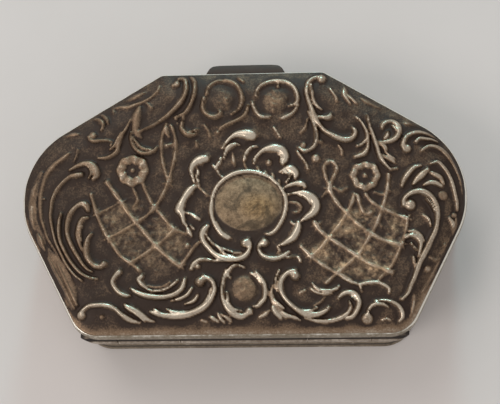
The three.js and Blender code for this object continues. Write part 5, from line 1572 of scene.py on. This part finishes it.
def addKnuckles():
    # Tubes turned about the hinge's axis. Points of the outer ones slide along it so that the ends follow
    # the corners' curve. Painted shade lies where a tube meets the rim and on the outer tubes near the
    # corners.
    h, tone = hinge, caseTone
    half = casePlan["depth"] / 2
    arcX = edgePoint[edgePoint[:, 1] < -half + 1e-6, 0].max()
    arcY = -half + casePlan["backRound"]
    filed = casePlan["backRound"] + h["endBeyond"]
    turn = np.linspace(0, 2 * np.pi, 56, endpoint=False)
    stops = [-h["end"], -h["seams"][1], -h["seams"][0], h["seams"][0], h["seams"][1], h["end"]]
    tubes = [
        ("left_end_knuckle", "box", "knuckle_body_left"),
        ("left_lid_knuckle", "lid", "knuckle_lid_left"),
        ("centre_knuckle", "box", "knuckle_body_centre"),
        ("right_lid_knuckle", "lid", "knuckle_lid_right"),
        ("right_end_knuckle", "box", "knuckle_body_right"),
    ]
    for (name, body, node), left, right in zip(tubes, stops, stops[1:]):
        left += 0 if left == stops[0] else h["gap"] / 2
        right -= 0 if right == stops[-1] else h["gap"] / 2
        along, radius, edge = knuckleSection(left, right)
        x, edge = (np.repeat(v[:, None], len(turn), 1) for v in (along, edge))
        y = h["y"] + radius[:, None] * np.cos(turn)
        z = h["z"] + radius[:, None] * np.sin(turn)
        reach = arcX + np.sqrt(np.clip(filed ** 2 - (y - arcY) ** 2, 0, None))
        reach = np.minimum(reach, h["end"])
        if right == stops[-1]:
            x = left + (x - left) * (reach - left) / (right - left)
        if left == stops[0]:
            x = right + (x - right) * (-reach - right) / (left - right)
        # Painted shade in a band round each tube where it meets the rim
        fromGroove = abs(np.degrees(turn) - tone["tubeGrooveAt"])
        grooveShade = tone["tubeGrooveShade"] * fadeOut(fromGroove, *tone["tubeGrooveTurn"])
        # Painted shade on the outer tubes towards the corners
        corner = tone["tubeCornerShade"] * smoothStep(abs(x), *tone["tubeCornerX"])
        values = {"edge": edge, "shadeAndTarnish": np.maximum(grooveShade, corner)}
        faces = gridFaces(*x.shape, True, True)[:, ::-1]
        points = np.stack([x, y, z], -1)
        addPiece(name, points, faces, body, finish["hinge"], node, values, 50)


thumb = {
    "middle": 0.35,
    "halfLength": 5.35,
    "reach": 1.57,
    "taper": 0.75,
    "cornerRound": 0.36,
    "tipCurve": 0.12,
    "thickness": 0.7,
    "thinning": 0.4,
    "drop": 0.35,
    "root": 17.13,
    "rootZ": 10.36,
    "edgeRound": 0.2,
    "bareEdge": 0.3,
    "columns": 70,
    "rows": 26,
}


def addThumbpiece():
    # Two sheets over one plan, joined at their edge. The plan narrows towards the tip as a rounded corner.
    # Each sheet leaves the middle level as a quarter ellipse within a short way of the edge.
    t = thumb
    u = np.sin(np.pi / 2 * np.sin(np.pi / 2 * np.linspace(-1, 1, t["columns"])))
    v = (1 - np.cos(np.pi * np.linspace(0, 1, t["rows"]))) / 2
    u, v = np.meshgrid(u, v, indexing="ij")
    corner = t["cornerRound"] * (1 - np.sqrt(1 - 0.999 * smoothStep(v, 0.5, 1.0) ** 2))
    half = t["halfLength"] - t["taper"] * v ** 0.9 - corner
    reach = t["reach"] - t["tipCurve"] * abs(u) ** 8
    x = t["middle"] + u * half
    y = t["root"] + reach * v
    thick = t["thickness"] * (1 - t["thinning"] * v)
    middle = t["rootZ"] - t["drop"] * v ** 2 - thick / 2
    fromEdge = np.minimum((1 - abs(u)) * half, (1 - v) * reach)
    bulge = np.sqrt(1 - (1 - np.clip(fromEdge / t["edgeRound"], 0, 1)) ** 2)
    points = np.stack([np.stack([x, y, middle + side * bulge * thick / 2], -1) for side in (1, -1)])
    faces = gridFaces(*x.shape)
    under = x.size
    root = np.arange(t["columns"]) * t["rows"]
    rootFaces = np.stack([root[:-1], root[:-1] + under, root[1:] + under, root[1:]], 1)
    faces = np.concatenate([faces, faces[:, ::-1] + under, rootFaces])
    edge = np.tile(0.6 * fadeOut(fromEdge, 0, t["bareEdge"]).ravel(), 2)
    values = {"edge": edge, "shadeAndTarnish": np.zeros(len(edge))}
    addPiece("thumb_tab", points, faces, "lid", finish["thumb"], "thumbpiece", values, 60)


def dressNodes():
    # The solids that stay get the finish of what is round them.
    kept = {
        "base_plate": "inside", "body_hinge_bearer": "hinge", "lid_hinge_bearer": "hinge",
        "hinge_pin": "hinge", "hinge_plug_left": "hinge", "hinge_plug_right": "hinge",
    }
    for name, look in kept.items():
        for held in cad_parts[name].material_slots:
            held.material = finish[look]


# In metres, and for each lamp its place, the width of its disc, its power in watts and its colour
studio = {
    "floor": (210, 203, 199),
    "floorMottle": 3,
    "floorHalf": 1.2,
    "floorZ": -0.00002,
    "world": 0.6,
    "lamps": [
        ("warmWindow", (-0.42, -0.25, 0.5), 0.3, 1.15, (1.0, 0.95, 0.91)),
        ("paleWindow", (-0.24, 0.4, 0.55), 0.4, 0.98, (1.0, 0.98, 0.96)),
        ("coolPane", (0.04, 0.52, 0.2), 0.1, 0.85, (0.4, 0.88, 1.0)),
    ],
}


def addFloor():
    half, z = studio["floorHalf"], studio["floorZ"]
    mesh = bpy.data.meshes.new("paperFloor")
    corners = [(-half, -half, z), (half, -half, z), (half, half, z), (-half, half, z)]
    mesh.from_pydata(corners, [], [(0, 1, 2, 3)])
    material, tree, shader = newMaterial("palePaper")
    darker, lighter = ([c + step * studio["floorMottle"] for c in studio["floor"]] for step in (-1, 1))
    tone = mix(tree, noise(tree, pointInPiece(tree), 60.0), srgb(*darker), srgb(*lighter))
    connect(tree, shader.inputs, {"Base Color": tone})
    shader.inputs["Roughness"].default_value = 0.9
    shader.inputs["Specular IOR Level"].default_value = 0.1
    mesh.materials.append(material)
    floor = addObject("paperFloor", mesh)


def addLights():
    world = bpy.data.worlds.new("studioWorld")
    world.use_nodes = True
    sky = world.node_tree.nodes["Background"]
    sky.inputs["Color"].default_value = (1, 1, 1, 1)
    sky.inputs["Strength"].default_value = studio["world"]
    bpy.context.scene.world = world
    for name, spot, size, power, tint in studio["lamps"]:
        lamp = bpy.data.lights.new(name, "AREA")
        lamp.shape = "DISK"
        lamp.size = size
        lamp.energy = power
        lamp.color = tint
        holder = addObject(name, lamp)
        holder.location = spot
        holder.rotation_euler = (-Vector(spot)).to_track_quat("-Z", "Y").to_euler()


addCamera()
addLidPanel()
print("stage: lid made")
addWall()
addFoot()
addBezel()
addRim()
addKnuckles()
addThumbpiece()
dressNodes()
print("stage: case made")
addFloor()
addLights()
bpy.context.scene.view_settings.view_transform = "Standard"
